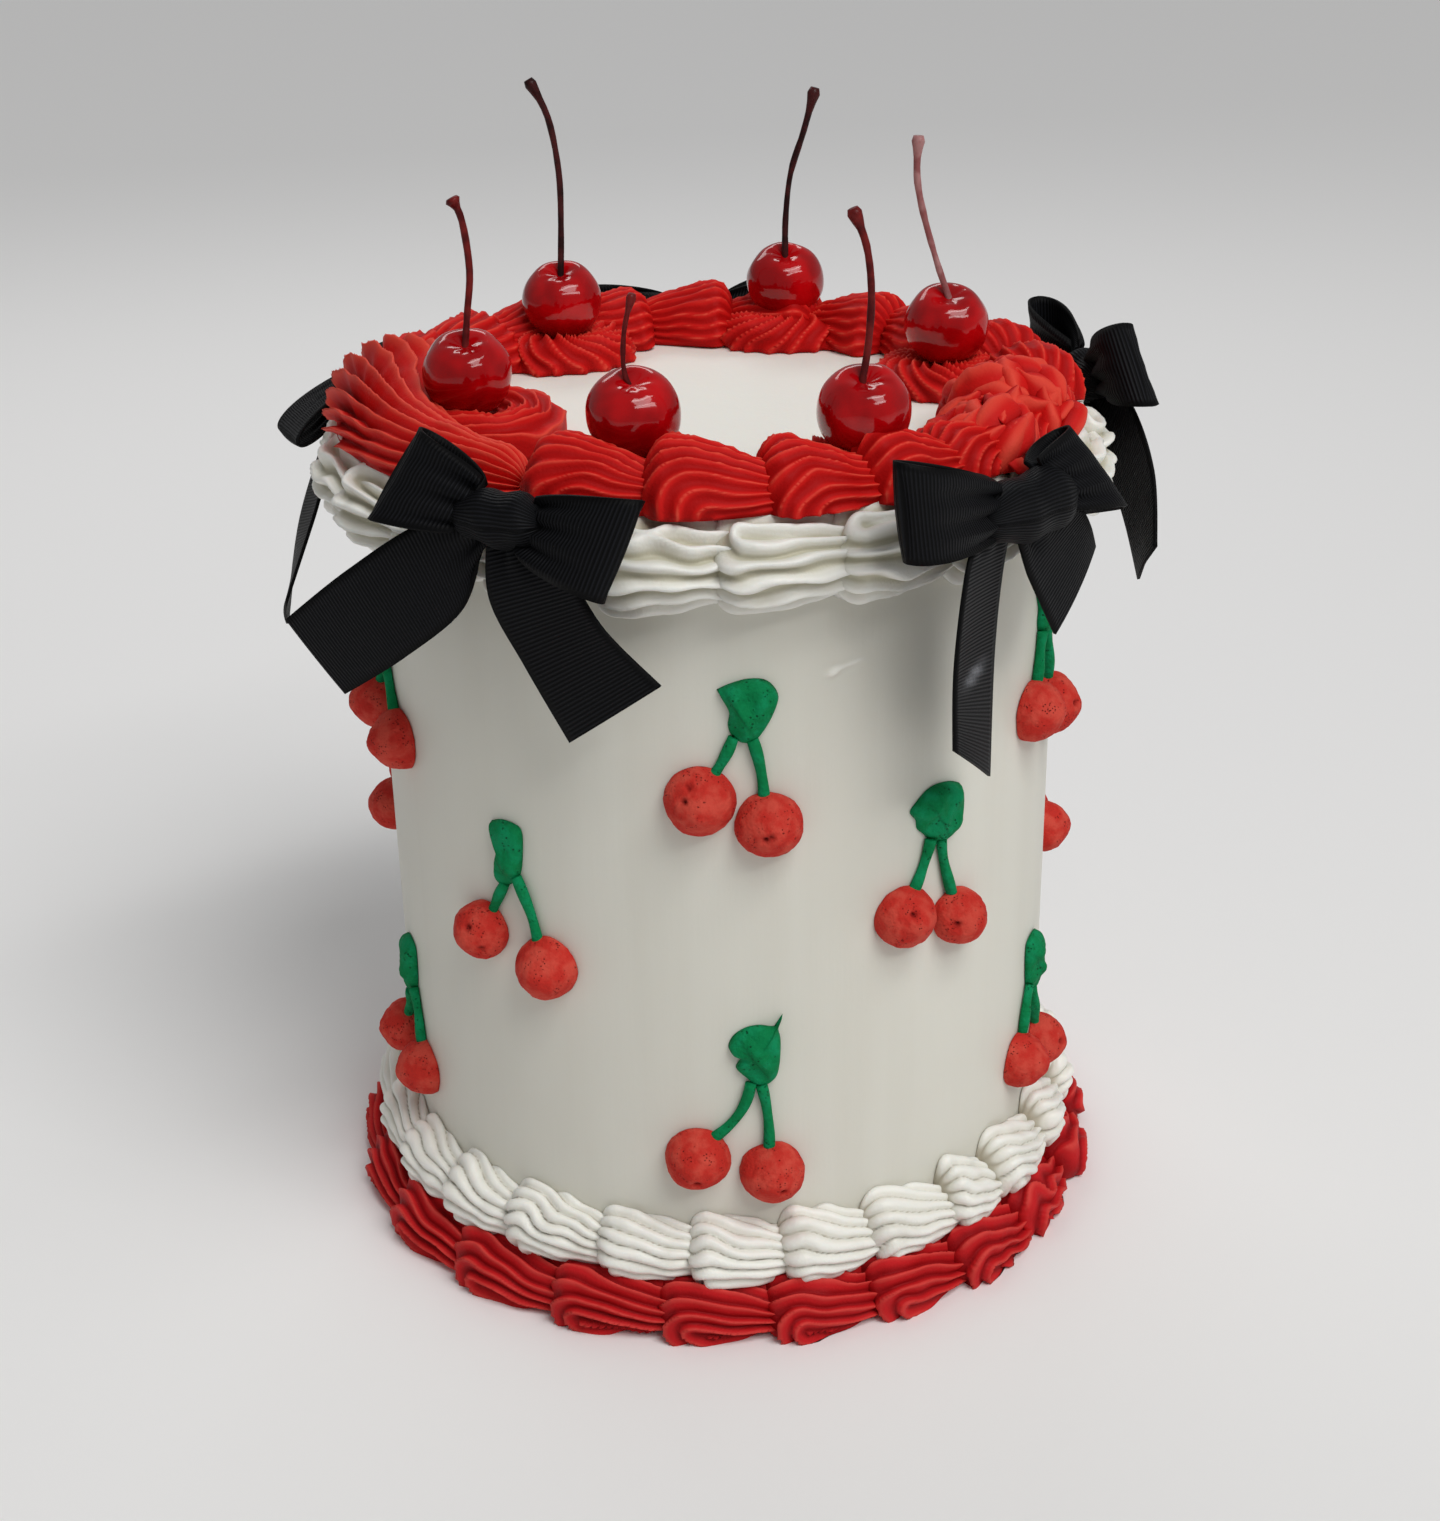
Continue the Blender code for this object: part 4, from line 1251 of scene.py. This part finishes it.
CHERRIES = (
    StemmedCherry("cherry_front_left", -68.2, 59.1,
                  ((0.2, 7), (0.9, 13.4), (1.9, 22.8), (0.9, 33.5), (-1.1, 38.5)), 21),
    StemmedCherry("cherry_back_left", -144.4, 65.2,
                  ((0.2, 7), (0.7, 19), (0.7, 31.8), (-1.4, 45), (-5.8, 54)), 22, DARK_STEMMED),
    StemmedCherry("cherry_back", 164.8, 74.6,
                  ((0, 7), (0.2, 16), (1.6, 27.5), (5, 38), (7.9, 48.5)), 23, DARK_STEMMED),
    StemmedCherry("cherry_right", 107.6, 59.4,
                  ((0, 7), (-2.8, 15), (-6.2, 26.5), (-7.8, 35), (-7.6, 44)), 24, PALE_STEMMED),
    StemmedCherry("cherry_front_right", 27.3, 68.7,
                  ((-0.5, 7), (0.7, 14.4), (1.3, 24.5), (0.2, 34), (-2.7, 41.5)), 25),
    StemmedCherry("cherry_front", -15.4, 62.2,
                  ((-0.5, 6.5), (-1.4, 8.5), (-1.8, 12), (-1.3, 18.2), (0.5, 25)), 26,
                  stem_radius=0.62),
)


# Piped cherry motifs


@dataclass(frozen=True)
class LeafShape:
    """Outline of a piped leaf, where its two stalks come out of it, and how they bend."""

    outline: tuple[Spot, ...]
    stalks: tuple[Spot, Spot]
    bends: Spot

    def mirrored(self) -> "LeafShape":
        """The same leaf seen in a mirror, with its stalks still from left to right.

        Returns:
            The mirrored leaf.
        """
        outline = tuple((-along, up) for along, up in reversed(self.outline))
        (left, right), (first, second) = self.stalks, self.bends
        return LeafShape(outline, ((-right[0], right[1]), (-left[0], left[1])), (-second, -first))


BROAD_LEAF = LeafShape(
    ((-6.9, 12.3), (-4.3, 13.5), (-0.3, 14.5), (3.7, 13.9), (6.1, 10.6), (5.4, 7.1), (3.3, 3.1), (1.0, 0.2),
     (-1.8, 0.0), (-3.8, 1.6), (-4.7, 4.1), (-4.4, 7.1), (-5.9, 10.2)),
    ((-3.6, 1.6), (0.4, 1.0)), (0.3, 0.5))
NARROW_LEAF = LeafShape(
    ((-3.4, 15.4), (-0.4, 16.4), (3.2, 16.2), (5.2, 14.8), (5.2, 9.9), (4.3, 4.3), (2.3, 1.5), (-0.6, -0.2),
     (-2.5, 1.1), (-2.3, 5.4), (-1.5, 9.0), (-3.2, 12.5)),
    ((0.2, 1.0), (3.6, 3.5)), (0.0, 0.6))
HOOKED_LEAF = LeafShape(
    ((4.9, 18.8), (3.2, 15.9), (-0.4, 16.4), (-3.6, 15.9), (-6.4, 13.9), (-7.5, 11.2), (-6.6, 9.2),
     (-4.9, 8.0), (-5.9, 5.6), (-3.6, 2.8), (-1.4, 0.9), (1.3, 0.6), (3.5, 3.0), (4.3, 7.5),
     (4.4, 12.3), (3.9, 15.4)),
    ((-2.6, 1.8), (-0.2, 1.2)), (1.9, 0.6))
POINTED_LEAF = LeafShape(
    ((7.0, 12.9), (4.0, 14.2), (0.0, 14.6), (-3.0, 13.8), (-5.5, 11.9), (-7.4, 9.7), (-5.8, 7.4), (-5.4, 5.2),
     (-3.6, 3.4), (-1.1, 1.0), (2.5, 0.0), (6.1, 1.9), (7.4, 4.6), (8.0, 9.5)),
    ((-2.2, 2.0), (0.9, 1.0)), (0.6, -0.4))


@dataclass
class PipedMotif:
    """Two piped cherries that hang on stalks from a leaf, flat against the wall."""

    name: str
    azimuth: float
    height: float
    shape: LeafShape
    left: Place
    right: Place
    seed: int
    pits: tuple[tuple[Spot, ...], tuple[Spot, ...]] = (((1.5, -2.2),), ((-1.8, 1.4),))
    leaf_proud: float = 3.6
    ball_proud: float = 8.6
    stalk_radius: float = 1.3
    one_piece: bool = False
    ball_grid: tuple[int, int] = (30, 46)
    leaf_rows: tuple[int, int] = (16, 4)
    stalk_grid: tuple[int, int] = (18, 14)

    def ball(self, skin: Skin, place: Place, pits: tuple[Spot, ...], seed: int) -> None:
        """Add a dollop with a blunt tip.

        Args:
            skin: The mesh.
            place: Distance along, distance up and radius.
            pits: Places of its pits, from its middle.
            seed: Seed of its unevenness.
        """
        along, up, radius = place
        middle = self.ball_proud - radius - 0.6
        last = math.acos(max(-0.95, -middle / radius))
        turn = np.linspace(0.04, last, self.ball_grid[0])[:, None]
        around = round_turn(self.ball_grid[1])[None, :]
        direction = ball_directions(turn, around)
        place_in_ball = direction * radius * MM
        uneven = 0.24 * Wobble(seed, 9.0).at(place_in_ball)
        uneven = uneven + 0.13 * Wobble(seed + 1, 2.4, 14).at(place_in_ball)
        uneven = uneven + 0.07 * Wobble(seed + 2, 1.1, 18).at(place_in_ball)
        pit = np.zeros(direction.shape[:2])
        for order, (x, y) in enumerate(pits):
            near = np.hypot(direction[..., 0] * radius - x, direction[..., 1] * radius - y)
            pit = np.maximum(pit, (1 - 0.3 * order) * np.exp(-(near / 0.62) ** 2))
        tip = 0.8 * np.exp(-(np.sin(turn) * radius / 3.0) ** 2)
        local = direction * (radius + uneven + tip - 1.5 * pit)[..., None]
        proud = np.maximum(local[..., 2] + middle, 0) + TOUCH
        grid = side_points(math.radians(self.azimuth), along + local[..., 0],
                           self.height + up + local[..., 1], proud)
        # the pit value paints shade into each pit, besides denting it
        skin.add(grid, {"pit": pit})

    def leaf(self, skin: Skin) -> None:
        """Add the leaf, puffed up inside its outline, with a soft fold across it and painted shade on one
        side of the fold.

        Args:
            skin: The mesh.
        """
        keys = np.array(self.shape.outline + self.shape.outline[:1])
        edge = smooth_path(keys, 4 * len(keys) + 1)[:-1]
        middle = edge.mean(axis=0)
        over, under = self.leaf_rows
        share = np.concatenate((np.linspace(0.06, 1, over), np.linspace(0.96, 0.1, under)))[:, None, None]
        flat = middle + (edge - middle)[None, :, :] * share
        share = share[..., 0]
        place = np.concatenate((flat, 0 * flat[..., :1]), -1) * MM
        puff = np.sqrt(np.clip(1 - share ** 2.6, 0, 1))
        fold = np.tanh((flat[..., 0] - middle[0] + 0.6 * (flat[..., 1] - middle[1]) + 1.2) / 0.9)
        rise = self.leaf_proud * puff * (0.86 + 0.1 * fold + 0.22 * Wobble(self.seed + 3, 6.0).at(place))
        rise = rise + 0.12 * Wobble(self.seed + 4, 1.6, 12).at(place) * puff
        rise[over:] = 0
        grid = side_points(math.radians(self.azimuth), flat[..., 0], self.height + flat[..., 1],
                           TOUCH + np.maximum(rise, 0))
        # painted shade: the pit value darkens a band on one side of the fold
        skin.add(grid, {"pit": 0.5 * (fold < 0) * puff * np.exp(-(fold + 0.4) ** 2 / 0.05)})

    def stalk(self, skin: Skin, side: int, place: Place) -> None:
        """Add the stalk from the leaf to one dollop.

        Args:
            skin: The mesh.
            side: 0 for the left one and 1 for the right one.
            place: The dollop's distance along, distance up and radius.
        """
        start = np.array(self.shape.stalks[side])
        run = np.array(place[:2]) - start
        run *= 1 - (place[2] - 1.1) / np.linalg.norm(run)
        step = np.linspace(0, 1, self.stalk_grid[0])[:, None]
        across = np.array((-run[1], run[0])) / np.linalg.norm(run)
        path = start + run * step + across * self.shape.bends[side] * 4 * step * (1 - step)
        slope = unit(np.gradient(path, axis=0))
        width = np.stack((slope[:, 1], -slope[:, 0]), -1)
        around = round_turn(self.stalk_grid[1])
        thick = self.stalk_radius * (0.95 + 0.1 * np.sin(7 * step + self.seed + side))
        flat = path[:, None, :] + width[:, None, :] * (thick * np.cos(around))[..., None]
        proud = np.maximum(thick * (0.8 + np.sin(around)), 0.05)
        grid = side_points(math.radians(self.azimuth), flat[..., 0],
                           self.height + flat[..., 1], TOUCH + proud)
        skin.add(grid, {"pit": np.zeros(grid.shape[:2])})

    def build(self, red: bpy.types.Material, green: bpy.types.Material) -> None:
        """Make the motif's pieces.

        Args:
            red: Icing of the dollops.
            green: Icing of the leaf and stalks.
        """
        foliage = Skin()
        self.leaf(foliage)
        self.stalk(foliage, 0, self.left)
        self.stalk(foliage, 1, self.right)
        fit_piece(foliage.build("piped_" + self.name + "_leaf", green), (self.name + "_leaf",))
        pair = Skin()
        for order, (side, place) in enumerate((("left", self.left), ("right", self.right))):
            self.ball(pair, place, self.pits[order], self.seed * 10 + order)
            if not self.one_piece:
                node = f"{self.name}_ball_{side}"
                fit_piece(pair.build("piped_" + node, red), (node,))
                pair = Skin()
        if self.one_piece:
            fit_piece(pair.build("piped_" + self.name + "_balls", red), (self.name + "_balls",))


MOTIFS = (
    PipedMotif("motif_front_high", 4.6, 147.7, BROAD_LEAF, (-10.9, -13.1, 7.8), (3.8, -19.1, 7.4), 301,
               (((-2.9, 2.5), (-1.9, 5.4)), ((-1.6, -0.4), (-0.6, 0.2)))),
    PipedMotif("motif_front_low", 5.8, 62.1, HOOKED_LEAF, (-14.9, -18.2, 7.6), (2.0, -22.4, 7.5), 302,
               (((0.3, -2.4),), ((1.5, -1.3),))),
    PipedMotif("motif_right_middle", 35.8, 115.7, POINTED_LEAF, (-9.0, -15.3, 7.2), (6.3, -19.7, 6.8), 303,
               (((-1.4, 3.4),), ((-4.6, 1.0),))),
    PipedMotif("motif_right_high", 66.5, 153.0, BROAD_LEAF, (-7.4, -16.6, 7.4), (5.2, -19.4, 7.6), 304,
               one_piece=True),
    PipedMotif("motif_right_low", 68.5, 57.0, NARROW_LEAF.mirrored(),
               (-10.0, -14.5, 6.9), (7.0, -18.0, 7.0), 305),
    PipedMotif("motif_side_right", 99.5, 101.0, POINTED_LEAF.mirrored(),
               (-8.5, -15.5, 6.8), (8.5, -18.5, 7.2), 306),
    PipedMotif("motif_left_middle", -36.2, 107.0, NARROW_LEAF, (-7.2, -12.8, 6.9), (10.7, -17.7, 7.4), 307,
               (((1.2, 3.1), (4.0, -1.8)), ((-2.6, -5.0),))),
    PipedMotif("motif_left_high", -70.0, 149.5, POINTED_LEAF, (-9.5, -15.5, 7.0), (9.0, -18.5, 7.2), 308),
    PipedMotif("motif_left_low", -70.5, 58.0, NARROW_LEAF, (-9.0, -14.0, 6.8), (8.6, -16.5, 7.0), 309),
    PipedMotif("motif_side_left", -100.0, 114.0, BROAD_LEAF.mirrored(),
               (-9.0, -16.5, 7.1), (8.6, -19.0, 6.9), 310),
    PipedMotif("motif_back_right_high", 139.0, 150.0, BROAD_LEAF.mirrored(), (-9.5, -14.0, 7.2),
               (7.0, -19.0, 7.5), 311),
    PipedMotif("motif_back_right_low", 137.0, 60.5, POINTED_LEAF,
               (-11.0, -16.5, 7.5), (5.0, -20.0, 7.2), 312),
    PipedMotif("motif_back_middle", 177.5, 108.5, HOOKED_LEAF.mirrored(),
               (-7.5, -15.0, 7.0), (9.0, -18.5, 7.3), 313),
    PipedMotif("motif_back_left_high", -141.5, 148.0, NARROW_LEAF,
               (-8.0, -17.5, 7.3), (8.5, -14.5, 6.9), 314),
    PipedMotif("motif_back_left_low", -143.0, 61.5, BROAD_LEAF, (-10.5, -15.5, 7.1), (6.5, -20.5, 7.6), 315),
)


# Ribbon bows


@dataclass
class RibbonBow:
    """A tied bow in (along, up, proud) places, on the plane that touches the cake at its azimuth.

    A loop is its root, root half width, tip, tip half-width vector and depth. A tail is its
    stations, each a centre and a half-width vector.
    """

    name: str
    azimuth: float
    knot: tuple[Place, Place]
    loops: tuple[Loop, ...]
    tails: tuple[tuple[Station, ...], ...]
    seed: int
    reference: float = 98.0
    thickness: float = 0.7
    columns: int = 13
    opening: float = 0.06
    pale_streak: Spot | None = None
    bound_edge: float = 0.95
    loop_rows: int = 56
    tail_rows: int = 46
    knot_grid: tuple[int, int] = (30, 48)

    def placed(self, local: np.ndarray) -> np.ndarray:
        """Turn the bow's own places into points.

        Args:
            local: Distances along, up and proud of the plane, in millimetres.

        Returns:
            Points in metres.
        """
        out, side = facing(self.azimuth)
        along, up, proud = local[..., :1], local[..., 1:2], local[..., 2:]
        return (out * (self.reference + proud) + side * along + UPWARD * up) * MM

    def strip(self, skin: Skin, middle: np.ndarray, half: np.ndarray, fold: np.ndarray,
              mark: np.ndarray | float = 0.0) -> None:
        """Add a strip of ribbon.

        Args:
            skin: The bow's mesh.
            middle: Its middle line, one point to a row.
            half: Its half-width vectors.
            fold: How far the ribbon is lifted off its plane, as rows by columns.
            mark: How strongly the pale streak shows, from 0 to 1.
        """
        side = np.linspace(-1, 1, self.columns)[None, :, None]
        sheet = middle[:, None, :] + half[:, None, :] * side
        sheet = sheet + sheet_normals(sheet) * fold[..., None]
        shell = 0.5 * self.thickness * sheet_normals(sheet)
        grid = np.concatenate((sheet + shell, np.flip(sheet - shell, axis=1)), axis=1)
        steps = np.linalg.norm(np.diff(middle, axis=0, prepend=middle[:1]), axis=1)
        along = np.repeat(np.cumsum(steps)[:, None], grid.shape[1], axis=1)
        edge = np.where(np.abs(side[..., 0]) > self.bound_edge, 1.0, 0.0)
        edge = np.repeat(np.concatenate((edge, edge), axis=1), len(middle), axis=0)
        mark = np.broadcast_to(mark, sheet.shape[:2])
        mark = np.concatenate((mark, np.flip(mark, axis=1)), axis=1)
        skin.add(self.placed(grid), {"along": along, "edge": edge, "mark": mark})

    def loop(self, skin: Skin, loop: Loop, order: int) -> None:
        """Add a loop, gathered at its root.

        Args:
            skin: The bow's mesh.
            loop: The loop's sizes.
            order: Its number in the bow.
        """
        root, root_half, tip, half, depth = loop
        root, tip, half = np.array(root), np.array(tip), np.array(half)
        turn = 2 * math.pi * np.linspace(self.opening, 1 - self.opening, self.loop_rows)[:, None]
        out = 0.5 * (1 - np.cos(turn))
        middle = root + (tip - root) * out
        opening = np.cross(tip - root, half)
        opening *= np.sign(opening[2]) / np.linalg.norm(opening)
        middle = middle + opening * depth * np.sin(turn) * (0.35 + 0.65 * out)
        start = half / np.linalg.norm(half) * root_half
        width = start + (half - start) * out ** 0.6
        side = np.linspace(-1, 1, self.columns)[None, :]
        gather = (1 - out) ** 1.3
        fold = 1.5 * gather * np.cos(3.2 * math.pi * side + order + self.seed)
        fold = fold + 0.9 * out * (1 - side ** 2) * np.sign(np.sin(turn)) * 0.6
        self.strip(skin, middle, width, fold)

    def tail(self, skin: Skin, stations: tuple[Station, ...], order: int) -> None:
        """Add a tail with soft waves along it.

        Args:
            skin: The bow's mesh.
            stations: Its centres and half widths, from the knot down.
            order: Its number in the bow. The first tail may carry the pale streak.
        """
        middle = smooth_path(np.array([place for place, _ in stations], float), self.tail_rows)
        half = smooth_path(np.array([width for _, width in stations], float), self.tail_rows)
        side = np.linspace(-1, 1, self.columns)[None, :]
        share = np.linspace(0, 1, len(middle))[:, None]
        fold = 0.7 * np.sin(5 * share + order + self.seed) * (1 - side ** 2) * share
        fold = fold + 1.2 * (1 - smooth(share, 0.0, 0.35)) * np.cos(2.6 * math.pi * side + order)
        mark = 0.0
        # a pale slanted streak across the first tail
        if self.pale_streak and order == 0:
            down, aside = self.pale_streak
            slant = share - down + 0.04 * (side - aside)
            mark = np.exp(-(slant / 0.016) ** 2 - ((side - aside) / 0.4) ** 2)
        self.strip(skin, middle, half, fold, mark)

    def wrap(self, skin: Skin) -> None:
        """Add the knot, a puffed band round the middle with a few creases.

        Args:
            skin: The bow's mesh.
        """
        centre, size = self.knot
        place = np.linspace(-0.97, 0.97, self.knot_grid[0])[:, None]
        around = round_turn(self.knot_grid[1])[None, :]
        swell = np.sqrt(np.clip(1 - np.abs(place) ** 2.8, 0, 1))
        crease = 1 + 0.07 * np.cos(2.4 * math.pi * place + 1.5 * np.sin(around) + self.seed)
        local = np.stack(np.broadcast_arrays(
            centre[0] + size[0] * place + 0 * around,
            centre[1] + size[1] * swell * crease * np.sin(around) * (1 + 0.12 * place),
            centre[2] + size[2] * swell * crease * np.cos(around)), -1)
        along = np.broadcast_to(around * size[1], local.shape[:2])
        plain = np.zeros(local.shape[:2])
        skin.add(self.placed(local), {"along": along, "edge": plain, "mark": plain})

    def build(self, material: bpy.types.Material) -> None:
        """Make the bow.

        Args:
            material: The ribbon's material.
        """
        skin = Skin()
        self.wrap(skin)
        for order, loop in enumerate(self.loops):
            self.loop(skin, loop, order)
        for order, tail in enumerate(self.tails):
            self.tail(skin, tail, order)
        fit_piece(skin.build("ribbon_" + self.name, material), (self.name,))


BOWS = (
    RibbonBow(
        "bow_front_left", -27, ((1.5, 200, 0), (10.5, 5.8, 5.5)),
        (((-5, 202, 0), 5.5, (-22, 206.8, 1), (4.8, 9.2, -3.5), 4.6),
         ((8, 199, 0), 5.5, (30, 197, 1), (3.2, 10.0, -3.2), 5.0)),
        ((((-1, 197, 0), (3, 6, 0)), ((-12, 188.5, 1.5), (-4, 9, 0)), ((-29, 176, 2), (-6.4, 8.8, 0)),
          ((-46.5, 163.4, 1), (-7.0, 7.5, 0))),
         (((4, 197, 0), (5, 1.5, 0)), ((9, 187, 2), (9.6, 3.6, 0)), ((15.6, 174.5, 0.5), (9.6, 5.2, 0)),
          ((25.2, 160.8, -2), (10.9, 8.0, 0)))), 1),
    RibbonBow(
        "bow_front_right", 43, ((-3.5, 196, 0), (15, 7.2, 6)),
        (((-12.5, 198, 0), 5.5, (-42, 203.5, 1), (-1.7, 10.7, 0), 6.0),
         ((4, 199, 0), 7.0, (21.5, 198.5, -2.5), (-7.0, 9.8, -3.0), 4.2)),
        ((((-13, 196, 1), (5, 1, 1)), ((-17.5, 188, 1.5), (9.5, -1, -3)),
          ((-18.3, 167, 0), (10.4, -1.5, -3.6)), ((-17, 142, -1), (10.2, -7.2, -3.6))),
         (((1.5, 193, 0), (9.5, 3, -1)), ((6.8, 186, 0), (10.4, 4.6, -1.5)),
          ((11.5, 179.5, -0.5), (9.6, 6.2, -1.5)), ((16.2, 172.6, -1.5), (8.2, 7.6, -1.5)))),
        2, pale_streak=(0.72, 0.0)),
    RibbonBow(
        "bow_side_right", 108, ((0, 197, 0), (10, 6, 5.5)),
        (((-5, 198.5, 0), 5.5, (-23, 205, 1), (7.8, 8.2, 0), 6.0),
         ((6, 198, 0), 5.5, (30, 200, 1), (1.5, 10.6, 0), 6.0)),
        ((((-3, 194, 0), (2, 6, 1)), ((-15, 186, 1.5), (-3, 8.5, 1)), ((-29, 174, 0.5), (-5.0, 8.0, 0.5)),
          ((-38.5, 160.5, -1.5), (-5.5, 6.0, -1))),
         (((4, 194, 0), (6, 2, 0)), ((8, 184, 1), (9.8, 3.0, 0)), ((13, 170, 0), (9.9, 4.0, 0)),
          ((19, 155.5, -1.5), (10.2, 5.5, 0)))), 3),
    RibbonBow(
        "bow_back", 182, ((0, 198, 0), (10.5, 6, 5.5)),
        (((-6, 199, 0), 5.5, (-30, 202, 1), (-1.5, 10.6, 0), 6.0),
         ((6, 199, 0), 5.5, (29, 197, 1), (2.5, 10.3, 0), 6.0)),
        ((((-3, 195, 0), (5, -2, 0)), ((-8, 186, 1.5), (9.8, -3.0, 0)), ((-14, 172, 0.5), (9.8, -4.4, 0)),
          ((-22, 157.5, -1.5), (10.4, -6.5, 0))),
         (((3, 195, 0), (5, 2, 0)), ((10, 187, 1.5), (8.8, 5.4, 0)), ((21, 176.5, 1.5), (7.6, 7.4, 0)),
          ((34, 165, 0), (6.8, 8.6, 0)))), 4),
    RibbonBow(
        "bow_side_left", -116, ((-2, 196, 0), (9, 5.6, 5)),
        (((-7, 196, 0), 5.5, (-27, 190.5, 1), (1.5, 10.6, 0), 6.0),
         ((4, 197.5, 0), 4.5, (34, 190.5, 0), (-6.6, -0.4, 7.6), 3.0)),
        ((((-5, 193, 0), (5, -2, 0)), ((-10, 184, 1), (9.6, -3.6, 0)), ((-17, 171, 0), (9.6, -4.6, 0)),
          ((-26, 158, -1.5), (9.6, -6.6, 0))),
         (((3, 193, 0), (4, 2, 2)), ((14, 184, 2), (-5, -3, 6.4)), ((29, 167, 1), (-6, -3, 6.6)),
          ((44, 149, -2), (-6, -6, 5)))), 5),
)


# Studio


@dataclass
class Studio:
    """The pale floor, the soft lights and the camera."""

    eye: Place = (0.0, -0.520, 0.335)
    pitch: float = 24.45
    roll: float = -1.07
    lens: float = 53.14
    shift: float = 0.022
    floor_size: float = 16.0
    lights: tuple[tuple[str, Place, Place, tuple[float, float], float], ...] = (
        ("key_tube", (0.72, -1.02, 1.15), (0.0, 0.0, 0.12), (1.1, 0.16), 4.0),
        ("second_tube", (0.44, -0.58, 1.4), (0.0, 0.0, 0.12), (1.1, 0.16), 3.2),
        ("back_tube", (-0.25, 1.0, 1.0), (0.0, 0.0, 0.2), (1.0, 0.3), 2.8),
    )
    daylight: tuple[Place, float, float] = ((0.5, -0.66, 1.15), 1.15, 0.55)
    surround: tuple[float, float, float, float] = (0.98, 0.99, 1.0, 1.0)
    surround_strength: float = 0.24

    def camera(self) -> None:
        """Make the camera."""
        pitch, roll = math.radians(self.pitch), math.radians(self.roll)
        forward = Vector((0, math.cos(pitch), -math.sin(pitch)))
        level = Vector((1, 0, 0))
        upright = level.cross(forward)
        right = math.cos(roll) * level + math.sin(roll) * upright
        up = -math.sin(roll) * level + math.cos(roll) * upright
        turn = Matrix((right, up, -forward)).transposed()
        data = bpy.data.cameras.new("camera")
        data.lens = self.lens
        data.shift_y = self.shift
        item = add_object("camera", data)
        item.matrix_world = Matrix.Translation(self.eye) @ turn.to_4x4()
        bpy.context.scene.camera = item

    def light(self, name: str, place: Place, target: Place, size: tuple[float, float],
              power: float) -> None:
        """Add a soft long light that faces a target.

        Args:
            name: The light's name.
            place: Where it is, in metres.
            target: What it faces.
            size: Its length and width.
            power: Its power in watts.
        """
        data = bpy.data.lights.new(name, "AREA")
        data.shape = "RECTANGLE"
        data.size, data.size_y = size
        data.energy = power
        item = add_object(name, data)
        item.location = place
        item.rotation_euler = (Vector(target) - Vector(place)).to_track_quat("-Z", "Y").to_euler()

    def sun(self) -> None:
        """Add the even daylight that also reaches the far floor."""
        place, strength, angle = self.daylight
        data = bpy.data.lights.new("daylight", "SUN")
        data.energy = strength
        data.angle = angle
        item = add_object("daylight", data)
        item.rotation_euler = (-Vector(place)).to_track_quat("-Z", "Y").to_euler()

    def build(self) -> None:
        """Make the floor, the lights and the camera."""
        bpy.ops.mesh.primitive_plane_add(size=self.floor_size, location=(0, 0, 0))
        floor = bpy.context.active_object
        floor.name = "floor"
        floor.data.materials.append(FLOOR.material())
        world = bpy.data.worlds.new("soft_surround")
        world.use_nodes = True
        background = world.node_tree.nodes["Background"]
        background.inputs["Color"].default_value = self.surround
        background.inputs["Strength"].default_value = self.surround_strength
        bpy.context.scene.world = world
        bpy.context.scene.view_settings.view_transform = "Standard"
        for settings in self.lights:
            self.light(*settings)
        self.sun()
        self.camera()


def main() -> None:
    """Build the cake and its studio."""
    IcedBody().build()
    for border in (TOP_RED, TOP_WHITE, BASE_WHITE, BASE_RED):
        border.build()
    build_rosettes()
    for cherry in CHERRIES:
        cherry.build()
    red, green = RED_DOTS.material(), GREEN_LEAVES.material()
    for motif in MOTIFS:
        motif.build(red, green)
    ribbon = RIBBON.material()
    for bow in BOWS:
        bow.build(ribbon)
    Studio().build()


if __name__ == "__main__":
    main()
